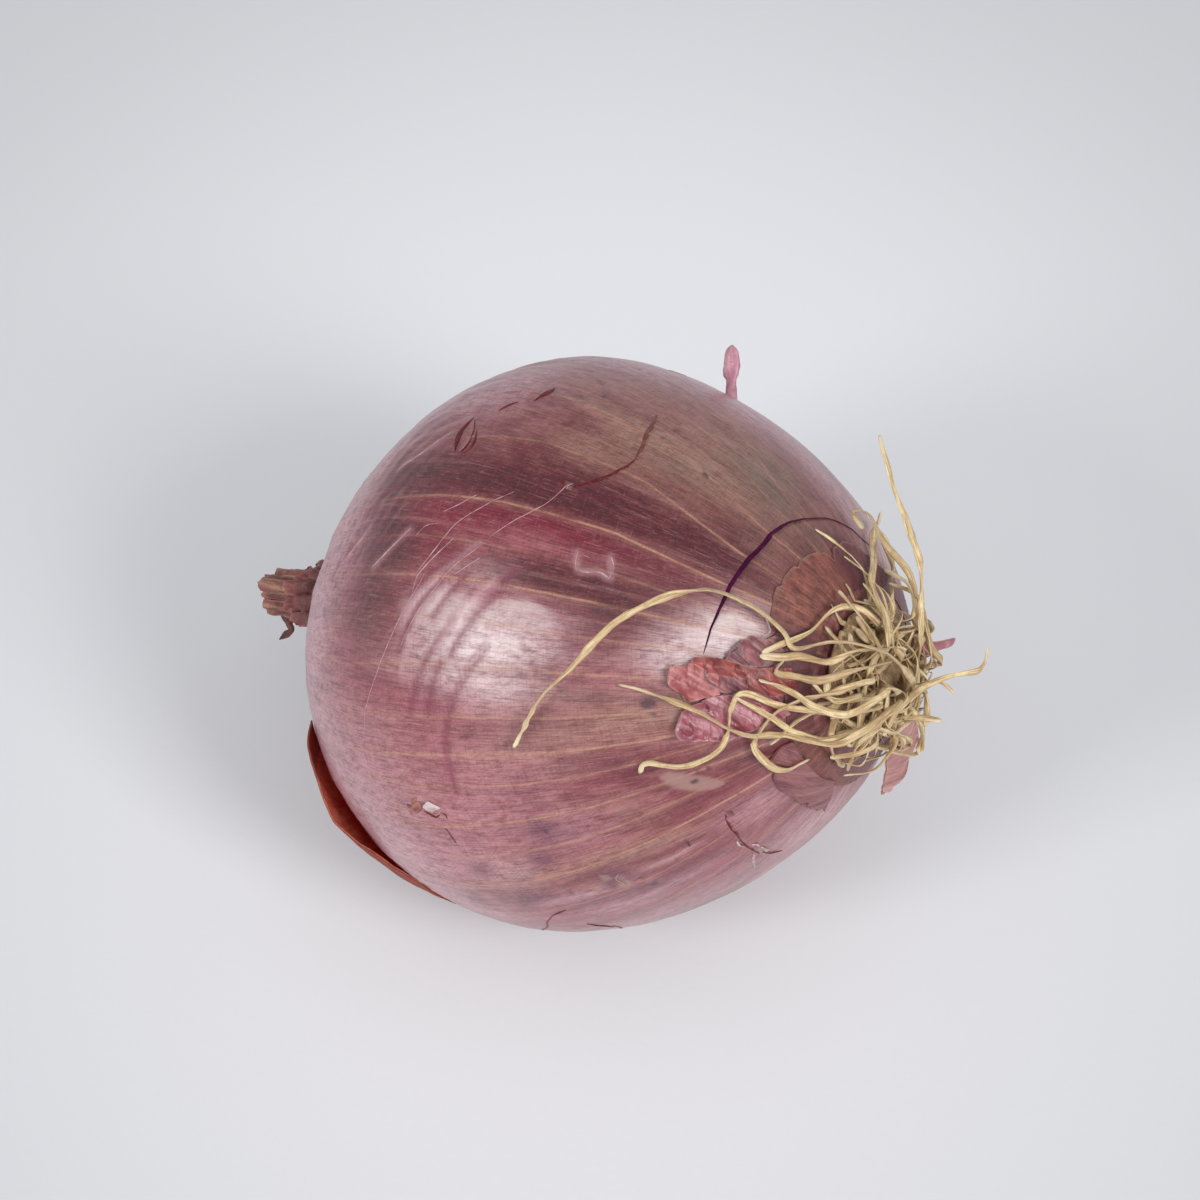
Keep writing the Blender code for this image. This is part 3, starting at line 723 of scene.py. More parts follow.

# %% [markdown]
# A real onion's colour comes in washes: crimson beside a vein, tan and olive where the
# outer skin has dried, pale mauve where layers have parted, violet where it was bruised.
# Near the bulb's edges the pale mauve is also a painted reflection of the bright room.
# Each wash is a soft oval: where it is, how far it reaches and how strong
# it is. Its edges are bent by smooth noise so that no oval can be recognised. The far
# side, which no one picture shows, gets washes of the same kinds by a seeded rule.

# %% Colour washes
# along, turn, reach along, reach round, strength
WASHES = {
    "tan": [
        (27, -30, 5, 6, 0.5), (12, 0, 4, 4, 0.6), (16, -8, 7, 6, 0.65), (20, -18, 8, 12, 0.4),
        (12, -30, 16, 8, 0.35), (17, -13.5, 10, 3.2, 0.9), (22, -15, 9, 7, 0.6), (26, -8, 8, 6, 0.5),
        (12, -14, 6, 2.2, 0.6), (26, -24, 6, 7, 0.5), (14, -3, 8, 3, 0.55), (25, 1, 8, 3, 0.5),
        (27, 59, 6, 4, 0.75), (22, 62, 9, 3.5, 0.5), (21, 97, 9, 3, 0.55), (9, 96, 7, 4, 0.5),
        (4, 99, 4, 3, 0.5), (27, 98, 4, 3, 0.5), (5, -19, 6, 7, 0.3), (35.2, -4, 1.8, 24, 0.75),
        (14, 66, 9, 3, 0.35), (24.2, -11, 2.2, 2.2, 0.7), (-9, 66, 9, 9, 0.3), (-6, 80, 7, 8, 0.3),
        (17, 107, 3, 3, 0.5), (27, 88, 4, 2.5, 0.4), (31.5, 56, 2, 3, 0.6)],
    "olive": [
        (27, -24, 5, 6, 0.5), (36.5, -20, 1.5, 10, 0.5), (31, -22, 4.0, 9, 0.75), (29, -34, 5, 8, 0.3),
        (23, -9, 6, 5, 0.4), (-7, 30, 2.6, 5, 0.75), (-9, 40, 3.5, 6, 0.6), (32, -2, 1.6, 12, 0.5),
        (8, -34, 8, 6, 0.25), (-4, 106, 5, 4, 0.5), (-13, 88, 3, 5, 0.4), (28, 13, 5, 3, 0.4),
        (4, 13, 5, 2, 0.4), (13.5, 11.3, 1.5, 1.5, 0.8), (24, 30, 6, 3, 0.35), (20, 53, 8, 3, 0.3),
        (7, 97, 3, 3, 0.4)],
    "deep": [
        (36, 82, 2.5, 7, 0.6), (18, 60, 5, 3, 0.35), (19, 30.5, 6, 4.5, 0.9), (12, 29.5, 5, 3.6, 0.8),
        (-11, 24, 5, 9, 0.5), (36, -12, 2, 14, 0.6), (22, 34, 4, 9, 0.45), (10, 11, 16, 4.5, 0.8),
        (-12, 21, 5, 14, 0.8), (24, 22, 7, 8, 0.5), (31, 10, 5, 6, 0.5), (22, 5, 12, 9, 0.55),
        (32, 6, 6, 12, 0.5), (4, 8, 12, 8, 0.4), (8, 11, 14, 3.6, 1.0), (20, 9, 8, 3.4, 0.8),
        (-8, 12.5, 7, 4, 0.75), (30, 9, 4, 6, 0.6), (26, 33, 5, 5, 0.55), (-6, 29, 3.5, 5, 0.7),
        (-9.5, 39, 3.5, 6, 0.75), (-8, 50, 4, 5, 0.4), (12, 27.5, 7, 2.4, 0.6), (39, 20, 2.2, 60, 0.45),
        (26, 74, 5, 5, 0.5), (14, 5, 7, 3, 0.45), (19, 29, 4, 3, 0.5), (35.6, 14, 1.2, 10, 0.4),
        (38.5, -33, 2.4, 9, 0.9), (28, 90, 4, 4, 0.35), (20, 70, 6, 3, 0.4), (-12, 30, 3, 6, 0.5)],
    "crimson": [
        (-3, 40, 5, 5, 0.5), (24, 31, 4, 4, 0.5), (19, 40, 5, 4, 0.9), (-4, 21, 4, 5, 0.6),
        (24, 31, 4, 4, 0.5), (12, 10.5, 24, 4.0, 0.9), (15, 30, 9, 4.5, 0.6), (-11, 24, 6, 9, 0.8),
        (-4, 10, 6, 10, 0.4), (-10, 30, 7, 14, 0.5), (9, 10, 6, 4, 0.5), (8, 15, 14, 3.5, 0.5),
        (7, 18.2, 10, 2.2, 1.0), (18, 18.4, 8, 2.4, 0.9), (-4, 20, 9, 2.2, 0.9), (27, 20, 6, 2.6, 0.6),
        (4, 22.4, 8, 1.8, 0.6), (24, 74, 6, 4, 0.75), (35, 86, 3, 10, 0.55), (2.6, 53.5, 0.8, 4.6, 0.9),
        (4.6, 46, 1.6, 3, 0.6), (22, 38, 6, 5, 0.5), (14, 92, 6, 3, 0.35), (0, 33, 4, 4, 0.45),
        (30, 92, 4, 5, 0.5), (31, 110, 3, 5, 0.45), (-2, 27, 6, 2.5, 0.6), (5, 57, 1.6, 2.5, 0.5),
        (3, 54, 4, 4, 0.4), (16, 6.5, 3, 3, 0.3), (-5, 55, 7, 5, 0.3), (2, 70, 6, 3, 0.25)],
    "rose": [
        (18, 21, 6, 2.4, 0.4), (-1, 66, 12, 8, 0.55), (5, 80, 8, 8, 0.5), (12, 24, 9, 2.4, 0.5),
        (9, 116, 8, 6, 0.5), (24, 49, 6, 3, 0.4), (28, 122, 6, 8, 0.5), (-4, 90, 8, 9, 0.5),
        (-3, 56, 5, 4, 0.45), (10, 37, 9, 5, 0.4), (10, 54, 9, 4, 0.4), (-12, 60, 6, 16, 0.35)],
    # pale mauve: parted dry skin, and along the bulb's edges a painted reflection of the bright room
    "mauve_and_reflection": [
        (0, -41, 9, 8, 0.5), (6, -51, 8, 7, 0.4), (18, -60, 8, 8, 0.4), (-17, 92, 6, 9, 0.8),
        (-12, -14, 8, 9, 0.5), (-12, 101, 5, 7, 0.6), (36, -62, 5, 12, 0.9), (31, -70, 6, 8, 0.8),
        (35, 146, 4, 12, 0.9), (24, 138, 5, 6, 0.4), (36, 106, 4, 10, 0.5), (-12, 99, 6, 9, 0.7),
        (-6, 106, 5, 8, 0.5), (-10, -14, 8, 8, 0.4), (6, 96, 5, 6, 0.4), (-15, -16, 5, 8, 0.4),
        (-12, 101, 5, 8, 0.5), (-14, -18, 7, 10, 0.5), (-5, -28, 6, 9, 0.35), (2, -38, 12, 9, 0.4),
        (16, -50, 14, 8, 0.4), (-12, -22, 6, 12, 0.35), (-9, 82, 8, 22, 0.5), (-12, 97, 8, 20, 0.5),
        (2, 92, 6, 14, 0.25), (-24, 45, 7, 48, 0.95), (-19, 80, 7, 24, 0.6), (-21, 6, 5.5, 22, 0.7),
        (-9, -17, 7, 13, 0.7), (2, -36, 9, 8, 0.5), (14, -48, 10, 8, 0.6), (29, -53, 9, 8, 0.5),
        (12, 108, 7, 1.6, 0.7), (-4, 114, 9, 7, 0.6), (20, 117, 8, 1.6, 0.7), (14, 134, 14, 9, 0.6),
        (25, 105.5, 3.5, 1, 0.7), (33.5, 135, 4, 10, 0.4), (17, 117, 6, 6, 0.35),
        (-34, 45, 6, 150, 0.5), (18, 87, 6, 6, 0.35), (9, 76, 9, 15, 0.3), (-13, 97, 6, 14, 0.5)],
    "violet": [
        (14.6, 86, 2.4, 3.4, 0.75), (12, 93, 2.0, 2.6, 0.7), (19.6, 103.6, 2.0, 2.6, 0.8),
        (8, 105.5, 3.4, 2.0, 0.6), (18, 107, 0.8, 2.2, 0.8), (3, 95, 1.6, 2.6, 0.6),
        (-1.5, 106, 2, 1.6, 0.5), (13.5, 112, 5, 2.5, 0.35), (22, 115, 5, 2.5, 0.4),
        (6, 106, 2, 3, 0.4), (28, 115, 3, 3, 0.3), (-12, 138, 3, 5, 0.5), (34.6, 30, 1.0, 2, 0.3)],
    # silvery lifted skin, and where the lamps reflect near turn 40 a painted highlight
    "silver_and_highlight": [
        (31.5, 41, 3, 5, 0.45), (33, 36, 3, 5, 0.5), (30, 44, 3, 4, 0.5), (6, 50, 8, 4, 0.5),
        (5, 40, 4, 4, 0.35), (12, 41.5, 5, 3.5, 0.5), (9, 42, 6, 5, 0.45), (33.6, 33, 2.8, 8.5, 0.95),
        (29.5, 40, 3.4, 8, 0.6), (36.2, 29, 1.6, 5, 0.8), (12, 37.5, 7, 2.4, 0.45),
        (9, 44.5, 9, 3.6, 0.6), (12, 53, 5, 4, 0.5), (1, 40, 3, 6, 0.3), (25, 43, 4, 5, 0.1),
        (36, -68, 4, 8, 0.5), (6, 31, 4, 3, 0.3)],
}
# Small marks with clear edges, in the same numbers
SPOTS = {
    "dark_spot": [
        (27.7, 55.5, 0.8, 1.5, 1.0), (28.2, 58.6, 0.3, 0.5, 1), (24.2, -11, 0.45, 0.7, 0.9),
        (17.3, -19, 0.4, 0.6, 0.8), (17.2, -14.2, 0.3, 0.6, 0.7), (13.9, 49.4, 0.4, 0.8, 0.5),
        (14.6, 85.5, 0.35, 0.6, 0.9), (31.2, 82, 0.4, 0.9, 1), (21.7, 113.2, 0.35, 1.1, 0.8),
        (13.1, 105.6, 0.3, 1.4, 0.7), (7.0, -18.4, 0.4, 0.5, 1.0), (31.6, 79, 0.2, 0.9, 0.6),
        (32.7, 79, 0.2, 0.8, 0.9), (32.8, 100, 0.25, 1.6, 0.9), (-11.2, 86, 0.5, 0.9, 0.5),
        (-0.4, 82.4, 0.15, 0.6, 0.6), (27.9, 103, 0.25, 1.8, 0.7), (34.4, 94, 0.2, 0.8, 0.6)],
    # painted highlight with clear edges, and silvery lifted skin beside the arc crack
    "highlight_and_silver_spot": [
        (2.5, 38.8, 6.5, 4.1, 0.3), (12.5, 37.5, 4.5, 3.0, 0.25), (34.4, 27.5, 0.9, 1.6, 0.6),
        (33.4, 31, 1.5, 3.4, 0.6), (31.6, 35.5, 1.6, 2.6, 0.5), (35.8, 30, 0.8, 2.6, 0.5),
        (10.6, 43.6, 3.2, 1.3, 0.35), (13.0, 35.4, 2.6, 1.0, 0.35)],
    "pale_spot": [
        (22.8, -13.5, 1.8, 3.0, 0.4), (28.7, 77.6, 0.75, 1.3, 0.8), (29.4, 79.1, 1.05, 1.8, 0.8),
        (30.1, 80.6, 1.2, 2.1, 0.8), (30.9, 82.1, 1.25, 2.2, 0.8), (31.6, 83.6, 1.2, 2.1, 0.8),
        (32.3, 85.1, 1.05, 1.8, 0.8), (33.0, 86.6, 0.75, 1.3, 0.8), (30.4, 59.5, 1.0, 1.8, 0.6),
        (24, 84, 1.4, 1.6, 0.35), (19.3, 108.4, 0.7, 1.6, 0.8), (18.0, 103.6, 0.5, 1.4, 0.7),
        (19.5, 105.5, 0.4, 1.2, 0.6), (31.6, 117, 0.3, 1.2, 0.9), (31.4, 129.5, 1.0, 2.6, 0.8),
        (29.2, 133, 0.5, 2.5, 0.6), (12.3, 8.0, 0.5, 0.6, 0.6), (24.5, 105.5, 1.6, 0.5, 0.8),
        (8.1, 94.8, 0.5, 0.8, 0.6)],
}
FAR_WASHES = {"tan": 16, "olive": 9, "deep": 9, "crimson": 12, "rose": 12, "mauve_and_reflection": 16, "violet": 12,
              "silver_and_highlight": 5}
FAR_TURNS = (140, 300)


def all_washes():
    """The listed washes and, for the far side, some by a seeded rule."""
    rng = random.Random(21)
    washes = {tint: list(ovals) for tint, ovals in WASHES.items()}
    for tint, count in FAR_WASHES.items():
        for _ in range(count):
            small = 0.25 if tint == "violet" else 1.0
            washes[tint].append((rng.uniform(-30, 34), rng.uniform(*FAR_TURNS), rng.uniform(4, 13) * small,
                                 rng.uniform(2.5, 9) * small, rng.uniform(0.35, 0.9)))
    return washes


def wash_field(ovals, crisp=False):
    bend_along = 1.6 * cloud(GRAIN * (1, 1, 0.5), 5.0, 31) + 0.5 * cloud(GRAIN, 1.6, 32)
    bend_turn = 1.8 * cloud(GRAIN * (1, 1, 0.3), 4.0, 33) + 0.7 * cloud(GRAIN * (1, 1, 0.25), 1.2, 34)
    total = np.zeros(ALONG.shape)
    for along, turn, reach, reach_round, strength in ovals:
        soft = 0.12 if crisp else min(1.0, min(reach, reach_round * 0.7) / 4)
        off = (ALONG + bend_along * soft - along) / reach
        round_off = (TURN + bend_turn * soft - turn + 180) % 360 - 180
        oval = np.exp(-off ** 2 - (round_off / reach_round) ** 2)
        if crisp:
            oval = np.clip((oval - 0.25) / 0.25, 0, 1)
        total = total + strength * oval * (1 - total)
    return total


washes = {tint: wash_field(ovals) for tint, ovals in all_washes().items()}
washes.update({mark: wash_field(ovals, crisp=True) for mark, ovals in SPOTS.items()})
print("washes:", {tint: round(float(field.mean()), 3) for tint, field in washes.items()})

# %% [markdown]
# The skin's finish is papery and satin. The washes are mixed in one after another, each
# broken up by soft blots. Then come the veins, and over them bands, blots, fine fibres
# that run from neck to roots, a faint hatch across them, specks and spots; some of the
# spots are a painted highlight. Ripples get painted light on their crests and painted
# shade in their troughs, creases get painted shade and ridges a painted highlight. Fibres,
# hatch and blots also show in the relief.
# A painted texture could do this, but noises stay sharp at any size. A thin coat gives
# the satin highlight, and a touch of sheen the pale bloom of dry skin.

# %% Onion skin finish
TINTS = {
    "rose": (0.42, 0.10, 0.135), "tan": (0.38, 0.20, 0.145), "olive": (0.195, 0.14, 0.10),
    # the pale mauve tint is partly a painted reflection at the bulb's edges
    "crimson": (0.215, 0.006, 0.030), "deep": (0.090, 0.006, 0.012), "mauve_and_reflection": (0.56, 0.31, 0.345),
    # the silver tint is silvery lifted skin together with a painted highlight
    "violet": (0.14, 0.030, 0.070), "silver_and_highlight": (0.64, 0.50, 0.495),
}
SKIN_DARK, SKIN_LIGHT = (0.20, 0.030, 0.042), (0.335, 0.112, 0.110)
VEIN_COLOUR = (0.48, 0.24, 0.16)
# squeeze along the fibres, scale, detail and roughness of each noise
SKIN_NOISES = {
    "fibres": (0.08, 4.4, 4.0, 0.72), "bands": (0.05, 0.55, 4.0, 0.6), "mottle": (0.6, 0.32, 6.0, 0.65),
    "blots": (0.7, 1.1, 4.0, 0.65), "specks": (1, 3.6, 3.0, 0.6), "patches": (0.35, 0.5, 3.0, 0.5),
}
HATCH_ANGLES = {"steep_hatch": 84, "slant_hatch": -40}
# A tone starts to show at the first number, is full at the second, and the third is its
# share. Where the noise falls from the first to the second it darkens, else it is mixed in.
TONES = [
    ("bands", 0.52, 0.34, 0.34, (0.52, 0.42, 0.48)),
    ("bands", 0.54, 0.72, 0.22, (0.48, 0.25, 0.24)),
    ("blots", 0.47, 0.33, 0.35, (0.62, 0.52, 0.56)),
    ("fibres", 0.525, 0.385, 0.70, (0.50, 0.36, 0.40)),
    ("fibres", 0.55, 0.69, 0.28, (0.50, 0.29, 0.27)),
    ("steep_hatch", 0.48, 0.37, 0.33, (0.58, 0.44, 0.48)),
    ("steep_hatch", 0.61, 0.73, 0.10, (0.50, 0.30, 0.28)),
    ("slant_hatch", 0.48, 0.37, 0.33, (0.58, 0.44, 0.48)),
    ("slant_hatch", 0.61, 0.73, 0.10, (0.50, 0.30, 0.28)),
    ("specks", 0.63, 0.72, 0.28, (0.50, 0.33, 0.30)),
    ("specks", 0.37, 0.29, 0.5, (0.42, 0.30, 0.35)),
]
# painted light on the ripples' crests and painted shade in their troughs
RIPPLE_LIGHT_AND_SHADE = [(0.1, 1.2, 0.33, (0.55, 0.30, 0.33)), (-0.1, -1.2, 0.55, (0.62, 0.40, 0.50))]
SPOT_SHARE = 0.85
SPOT_COLOURS = {
    # the pale spots with clear edges are a painted highlight over silvery skin
    "highlight_and_silver_spot": (0.66, 0.54, 0.51), "pale_spot": (0.33, 0.185, 0.155), "dark_spot": (0.055, 0.012, 0.022),
}
# share and colour of the folds of the wrinkled patch: painted shade in the valleys and a painted highlight
# on the ridges
FOLD_SHADE_AND_HIGHLIGHT = {"valley": (0.65, (0.17, 0.012, 0.040)), "ridge": (0.35, (0.58, 0.34, 0.36))}


def skin_noises(finish):
    grain = finish.field("grain", "Vector")
    chart = finish.field("chart", "Vector")
    noises = {name: finish.noise(finish.stretched(grain, (1, 1, squeeze)), scale, detail, roughness)
              for name, (squeeze, scale, detail, roughness) in SKIN_NOISES.items()}
    for name, angle in HATCH_ANGLES.items():
        noises[name] = finish.noise(finish.turned(chart, angle, (1, 0.10, 1)), 4.2)
    return noises


def with_washes(finish, colour, blots):
    torn = finish.scaled(blots, 2.6, -0.3)
    for tint, shade in TINTS.items():
        amount = finish.maths("MULTIPLY", finish.field(tint), torn, clamp=True)
        colour = finish.mix(amount, colour, shade)
    return colour


def with_veins(finish, colour, noises):
    """A soft glow with a thin line in it that wanders a little and fades in patches."""
    gap = finish.field("vein_gap")
    wander = finish.maths("ADD", gap, finish.scaled(noises["fibres"], 0.35, -0.17))
    patchy = finish.between(noises["patches"], 0.30, 0.55)
    strength = finish.maths("MULTIPLY", finish.field("vein"), finish.scaled(patchy, 0.6, 0.4))
    for value, start, end, share in ((gap, 1.0, 0.1, 0.22), (wander, 0.25, 0.08, 0.95)):
        amount = finish.maths("MULTIPLY", finish.between(value, start, end, share), strength)
        colour = finish.mix(amount, colour, VEIN_COLOUR)
    return colour


def onion_skin():
    finish = Finish("onion_skin")
    noises = skin_noises(finish)
    fibres, blots = noises["fibres"], noises["blots"]
    colour = finish.mix(finish.between(noises["mottle"], 0.38, 0.62), SKIN_DARK, SKIN_LIGHT)
    colour = with_washes(finish, colour, blots)
    colour = with_veins(finish, colour, noises)
    for name, start, end, share, tone in TONES:
        colour = finish.toned(colour, noises[name], start, end, share, tone)
    for mark, shade in SPOT_COLOURS.items():
        colour = finish.mix(finish.scaled(finish.field(mark), SPOT_SHARE), colour, shade)
    # painted light and shade on the silky ripples
    for start, end, share, tone in RIPPLE_LIGHT_AND_SHADE:
        colour = finish.toned(colour, finish.field("ripple"), start, end, share, tone)
    # painted shade in the creases and a painted highlight on the ridges
    for fold, (share, shade) in FOLD_SHADE_AND_HIGHLIGHT.items():
        colour = finish.mix(finish.scaled(finish.field(fold), share), colour, shade)
    rough = finish.maths("ADD", finish.scaled(fibres, 0.25, 0.17), finish.scaled(blots, 0.14))
    relief = finish.bump(fibres, 0.05)
    for name in HATCH_ANGLES:
        relief = finish.bump(noises[name], 0.02, relief)
    relief = finish.bump(blots, 0.10, relief)
    return finish.set(Base_Color=colour, Roughness=rough, Normal=relief, Specular_IOR_Level=0.5,
                      Coat_Weight=0.32, Coat_Roughness=0.25, Coat_IOR=1.6,
                      Sheen_Weight=0.05, Sheen_Roughness=0.4, Sheen_Tint=(1.0, 0.86, 0.90))


# %% The bulb's skin
NECK_FADE = (17, 18, 0.22)      # veins fade towards the neck, down to this share


def bulb_skin():
    """The grid, raised by its height, is closed at both ends and carries every field."""
    points = lay_down(SKIN + (SKIN - centre_line(ALONG)) / girth(ALONG)[..., None] * HEIGHT[..., None])
    points[..., 2] = np.maximum(points[..., 2], 0)
    flat = points.reshape(-1, 3)
    poles = np.array([points[0].mean(0), points[-1].mean(0)])
    away, strength = vein_distance()
    start, length, least = NECK_FADE
    fade = np.clip((ALONG + start) / length, least, 1)
    fields = {"vein_gap": away, "vein": strength * fade, "valley": valley, "ridge": ridge,
              "ripple": ripples()}
    fields.update(washes)
    ends = np.array([0.0, 0.0])
    fields = {key: np.concatenate([f.ravel(), ends]) for key, f in fields.items()}
    fields["grain"] = np.concatenate([GRAIN.reshape(-1, 3), np.zeros((2, 3))])
    spread = np.radians((TURN - 190) % 360) * GIRTH_RADIUS
    chart = np.stack([spread, ALONG, 0 * ALONG], -1)
    fields["chart"] = np.concatenate([chart.reshape(-1, 3), np.zeros((2, 3))])
    add_piece("bulb_skin", np.concatenate([flat, poles]), capped_faces(*ALONG.shape), onion_skin(), fields,
              replaces="bulb", slot="onion_skin")


bulb_skin()

# %% [markdown]
# Every flake, flap and collar is dry skin that has come loose. One recipe paints them
# all: a dark, a middle and a light tone mixed by long fibres and soft blotches, an under
# side of its own, and a rim with a tone of its own, mostly paler, where the torn edge
# lets light in. A separate recipe for each would match no better and be harder to mend.

# %% Dry skin finishes


def dry_skin(name, dark, middle, light, under, rim, gloss, fibre=2.0):
    finish = Finish(name)
    grain = finish.field("grain", "Vector")
    fibres = finish.noise(finish.stretched(grain, (1, 0.07, 1)), fibre, 4.0, 0.65)
    blotch = finish.noise(grain, 0.45, 4.0, 0.6)
    crackle = finish.noise(finish.stretched(grain, (0.4, 1.6, 1)), 1.6, 4.0, 0.65)
    colour = finish.mix(finish.between(blotch, 0.36, 0.62), dark, middle)
    colour = finish.mix(finish.between(fibres, 0.45, 0.72, 0.75), colour, light)
    colour = finish.mix(finish.between(crackle, 0.52, 0.34, 0.5), colour, dark)
    colour = finish.mix(finish.scaled(finish.field("under"), 0.85), colour, under)
    colour = finish.shaded(finish.scaled(finish.field("shade"), 0.8), colour, (0.40, 0.30, 0.36))
    colour = finish.mix(finish.scaled(finish.field("rim"), 0.4), colour, rim)
    rough = finish.scaled(fibres, 0.3, gloss)
    relief = finish.bump(fibres, 0.07)
    relief = finish.bump(crackle, 0.16, relief)
    return finish.set(Base_Color=colour, Roughness=rough, Normal=relief, Specular_IOR_Level=0.6,
                      Sheen_Weight=0.12, Sheen_Roughness=0.5, Sheen_Tint=(1.0, 0.88, 0.85))

# %% [markdown]
# A loose flake is a net of places: rows run from the edge that still holds on to the
# edge that is free, and each place has a lift over the bulb. The net is smoothed to a
# fine grid, its outline is made ragged, and small waves are laid over it. Rows of the
# same net stand in the plain solid, so the fine flake stays where the solid is. The torn
# red skin beside the roots is a pile of small crumpled sheets: one stands for the plain
# solid, and the others crumple round it. Cloth simulation would crumple a sheet well too,
# but not at the place and in the outline that the real flake has.

# %% Loose skins
NETS = {
    "red_flake": [
        [(39.2, 57, 0.5), (39.6, 62, 0.5), (39.9, 68, 0.5)],
        [(37.0, 55, 0.6), (37.0, 62, 0.5), (37.6, 69.5, 0.6)],
        [(34.6, 54.2, 0.9), (34.6, 61, 0.5), (35.6, 70.6, 0.8)],
        [(32.6, 56.2, 1.1), (32.4, 61.5, 0.8), (33.6, 68.8, 1.1)],
        [(31.3, 58.4, 1.4), (31.0, 62.5, 1.1), (31.3, 66.6, 1.5)]],
    "rose_sheet": [
        [(34.4, 46, 0.5), (34.6, 50, 0.8), (34.6, 54, 0.5)],
        [(32.8, 44.2, 0.6), (32.9, 49.5, 1.1), (33.2, 54.8, 0.5)],
        [(30.0, 45.0, 1.1), (30.6, 50.6, 0.9), (31.5, 55.8, 0.5)]],
    "orange_fold": [
        [(36.5, 44.2, 0.8), (37.0, 46.6, 1.5), (36.4, 49.0, 0.8)],
        [(34.2, 42.2, 0.7), (34.6, 44.6, 1.8), (34.2, 47.0, 0.8)],
        [(31.6, 42.3, 0.5), (32.0, 43.8, 1.3), (32.5, 45.2, 0.6)]],
    "rust_sheet": [
        [(38.0, 50, 0.6), (38.4, 57.0, 0.6)],
        [(35.4, 47.6, 0.8), (35.6, 54, 0.6)],
        [(33.0, 45.6, 0.8), (33.6, 53, 0.5)]],
    "purple_fold": [
        [(39.6, 35, 0.5), (38.6, 39, 0.8), (37.6, 44, 0.6)],
        [(38.2, 33, 0.6), (37.0, 38.4, 1.3), (36.2, 43.6, 0.9)],
        [(36.7, 32.4, 0.6), (35.5, 37.9, 0.8), (34.7, 42.4, 0.6)]],
    "brown_fold": [
        [(39.8, 44, 0.6), (40.3, 51, 0.8), (40.3, 57, 0.6)],
        [(38.2, 44.4, 0.8), (38.6, 51, 1.5), (39.0, 57, 0.7)],
        [(36.2, 44.6, 0.7), (36.4, 50, 0.9), (36.9, 54, 0.6)]],
    "pink_scrap": [
        [(39.6, 84, 0.4), (39.8, 100, 0.4), (39.8, 116, 0.4), (39.8, 132, 0.4)],
        [(38.9, 83, 0.5), (38.8, 99, 0.5), (38.8, 117, 0.5), (38.6, 138, 0.4)],
        [(38.0, 86, 0.8), (37.4, 100, 0.5), (37.7, 118, 0.6), (37.3, 140, 0.8)]],
    "low_flake": [
        [(40.3, -178, 0.6), (40.2, -168, 0.6), (40.2, -158, 0.6), (40.3, -148, 0.6)],
        [(39.6, -180, 2.0), (39.6, -170, 2.6), (39.6, -160, 2.8), (39.6, -152, 2.2)],
        [(38.4, -182, 3.6), (38.6, -172, 4.6), (38.8, -162, 5.0), (38.8, -154, 4.2)],
        [(36.6, -180, 4.2), (37.4, -171, 6.4), (37.6, -164, 5.8), (38.4, -157, 6.4)]],
    "side_flake": [
        [(41.0, -128, 0.4), (41.0, -116, 0.4), (41.0, -104, 0.4)],
        [(42.8, -124, 7.6), (43.0, -115, 8.2), (43.2, -106, 8.0)],
        [(44.8, -119, 10.2), (45.2, -114, 10.8), (45.6, -110, 10.6)],
        [(46.9, -115, 12.2), (47.1, -112.5, 12.5), (47.3, -110, 12.5)]],
    "skin_flap": [
        [(-29, 128, 0.3), (-26, 133, 0.3), (-22, 137, 0.3),
         (-17, 140, 0.3), (-14, 140, 0.3), (-11, 141, 0.3)],
        [(-31, 112, 0.1), (-28.5, 117, 0.4), (-24, 123, 0.5),
         (-18.5, 127.5, 0.5), (-15, 131, 0.3), (-12, 135, 0.2)],
        [(-30.3, 96, 0.0), (-28.5, 101, 0.6), (-25, 108, 1.1),
         (-20, 114, 1.2), (-15, 121, 0.5), (-12.6, 127, 0.1)],
        [(-29.4, 83, 0.0), (-28, 87, 1.2), (-25.5, 94, 1.8),
         (-22.5, 102, 2), (-16.5, 110, 0.9), (-12.6, 118, 0)],
        [(-28.6, 73, 0.0), (-26.7, 76, 1.8), (-24.6, 83, 2.4),
         (-22, 91.5, 3.1), (-17.4, 100.5, 1.2), (-12.2, 109, 0)]],
}

# %% A sheet from its net
SHEET = 0.26          # thickness of loose skin
SHEET_MIDDLE = 0.3    # middle of the plain solid over its net


def curve_rows(values, count):
    """Smooth curves through evenly spaced rows of values, read at count places."""
    values = np.asarray(values, float)
    padded = np.concatenate([[values[0] * 2 - values[1]], values, [values[-1] * 2 - values[-2]]])
    place = np.linspace(0, len(values) - 1, count)
    k = np.minimum(place.astype(int), len(values) - 2)
    f = (place - k).reshape(-1, *[1] * (values.ndim - 1))
    a, b, c, d = padded[k], padded[k + 1], padded[k + 2], padded[k + 3]
    return 0.5 * (2 * b + (c - a) * f + (2 * a - 5 * b + 4 * c - d) * f * f
                  + (3 * b - a - 3 * c + d) * f ** 3)


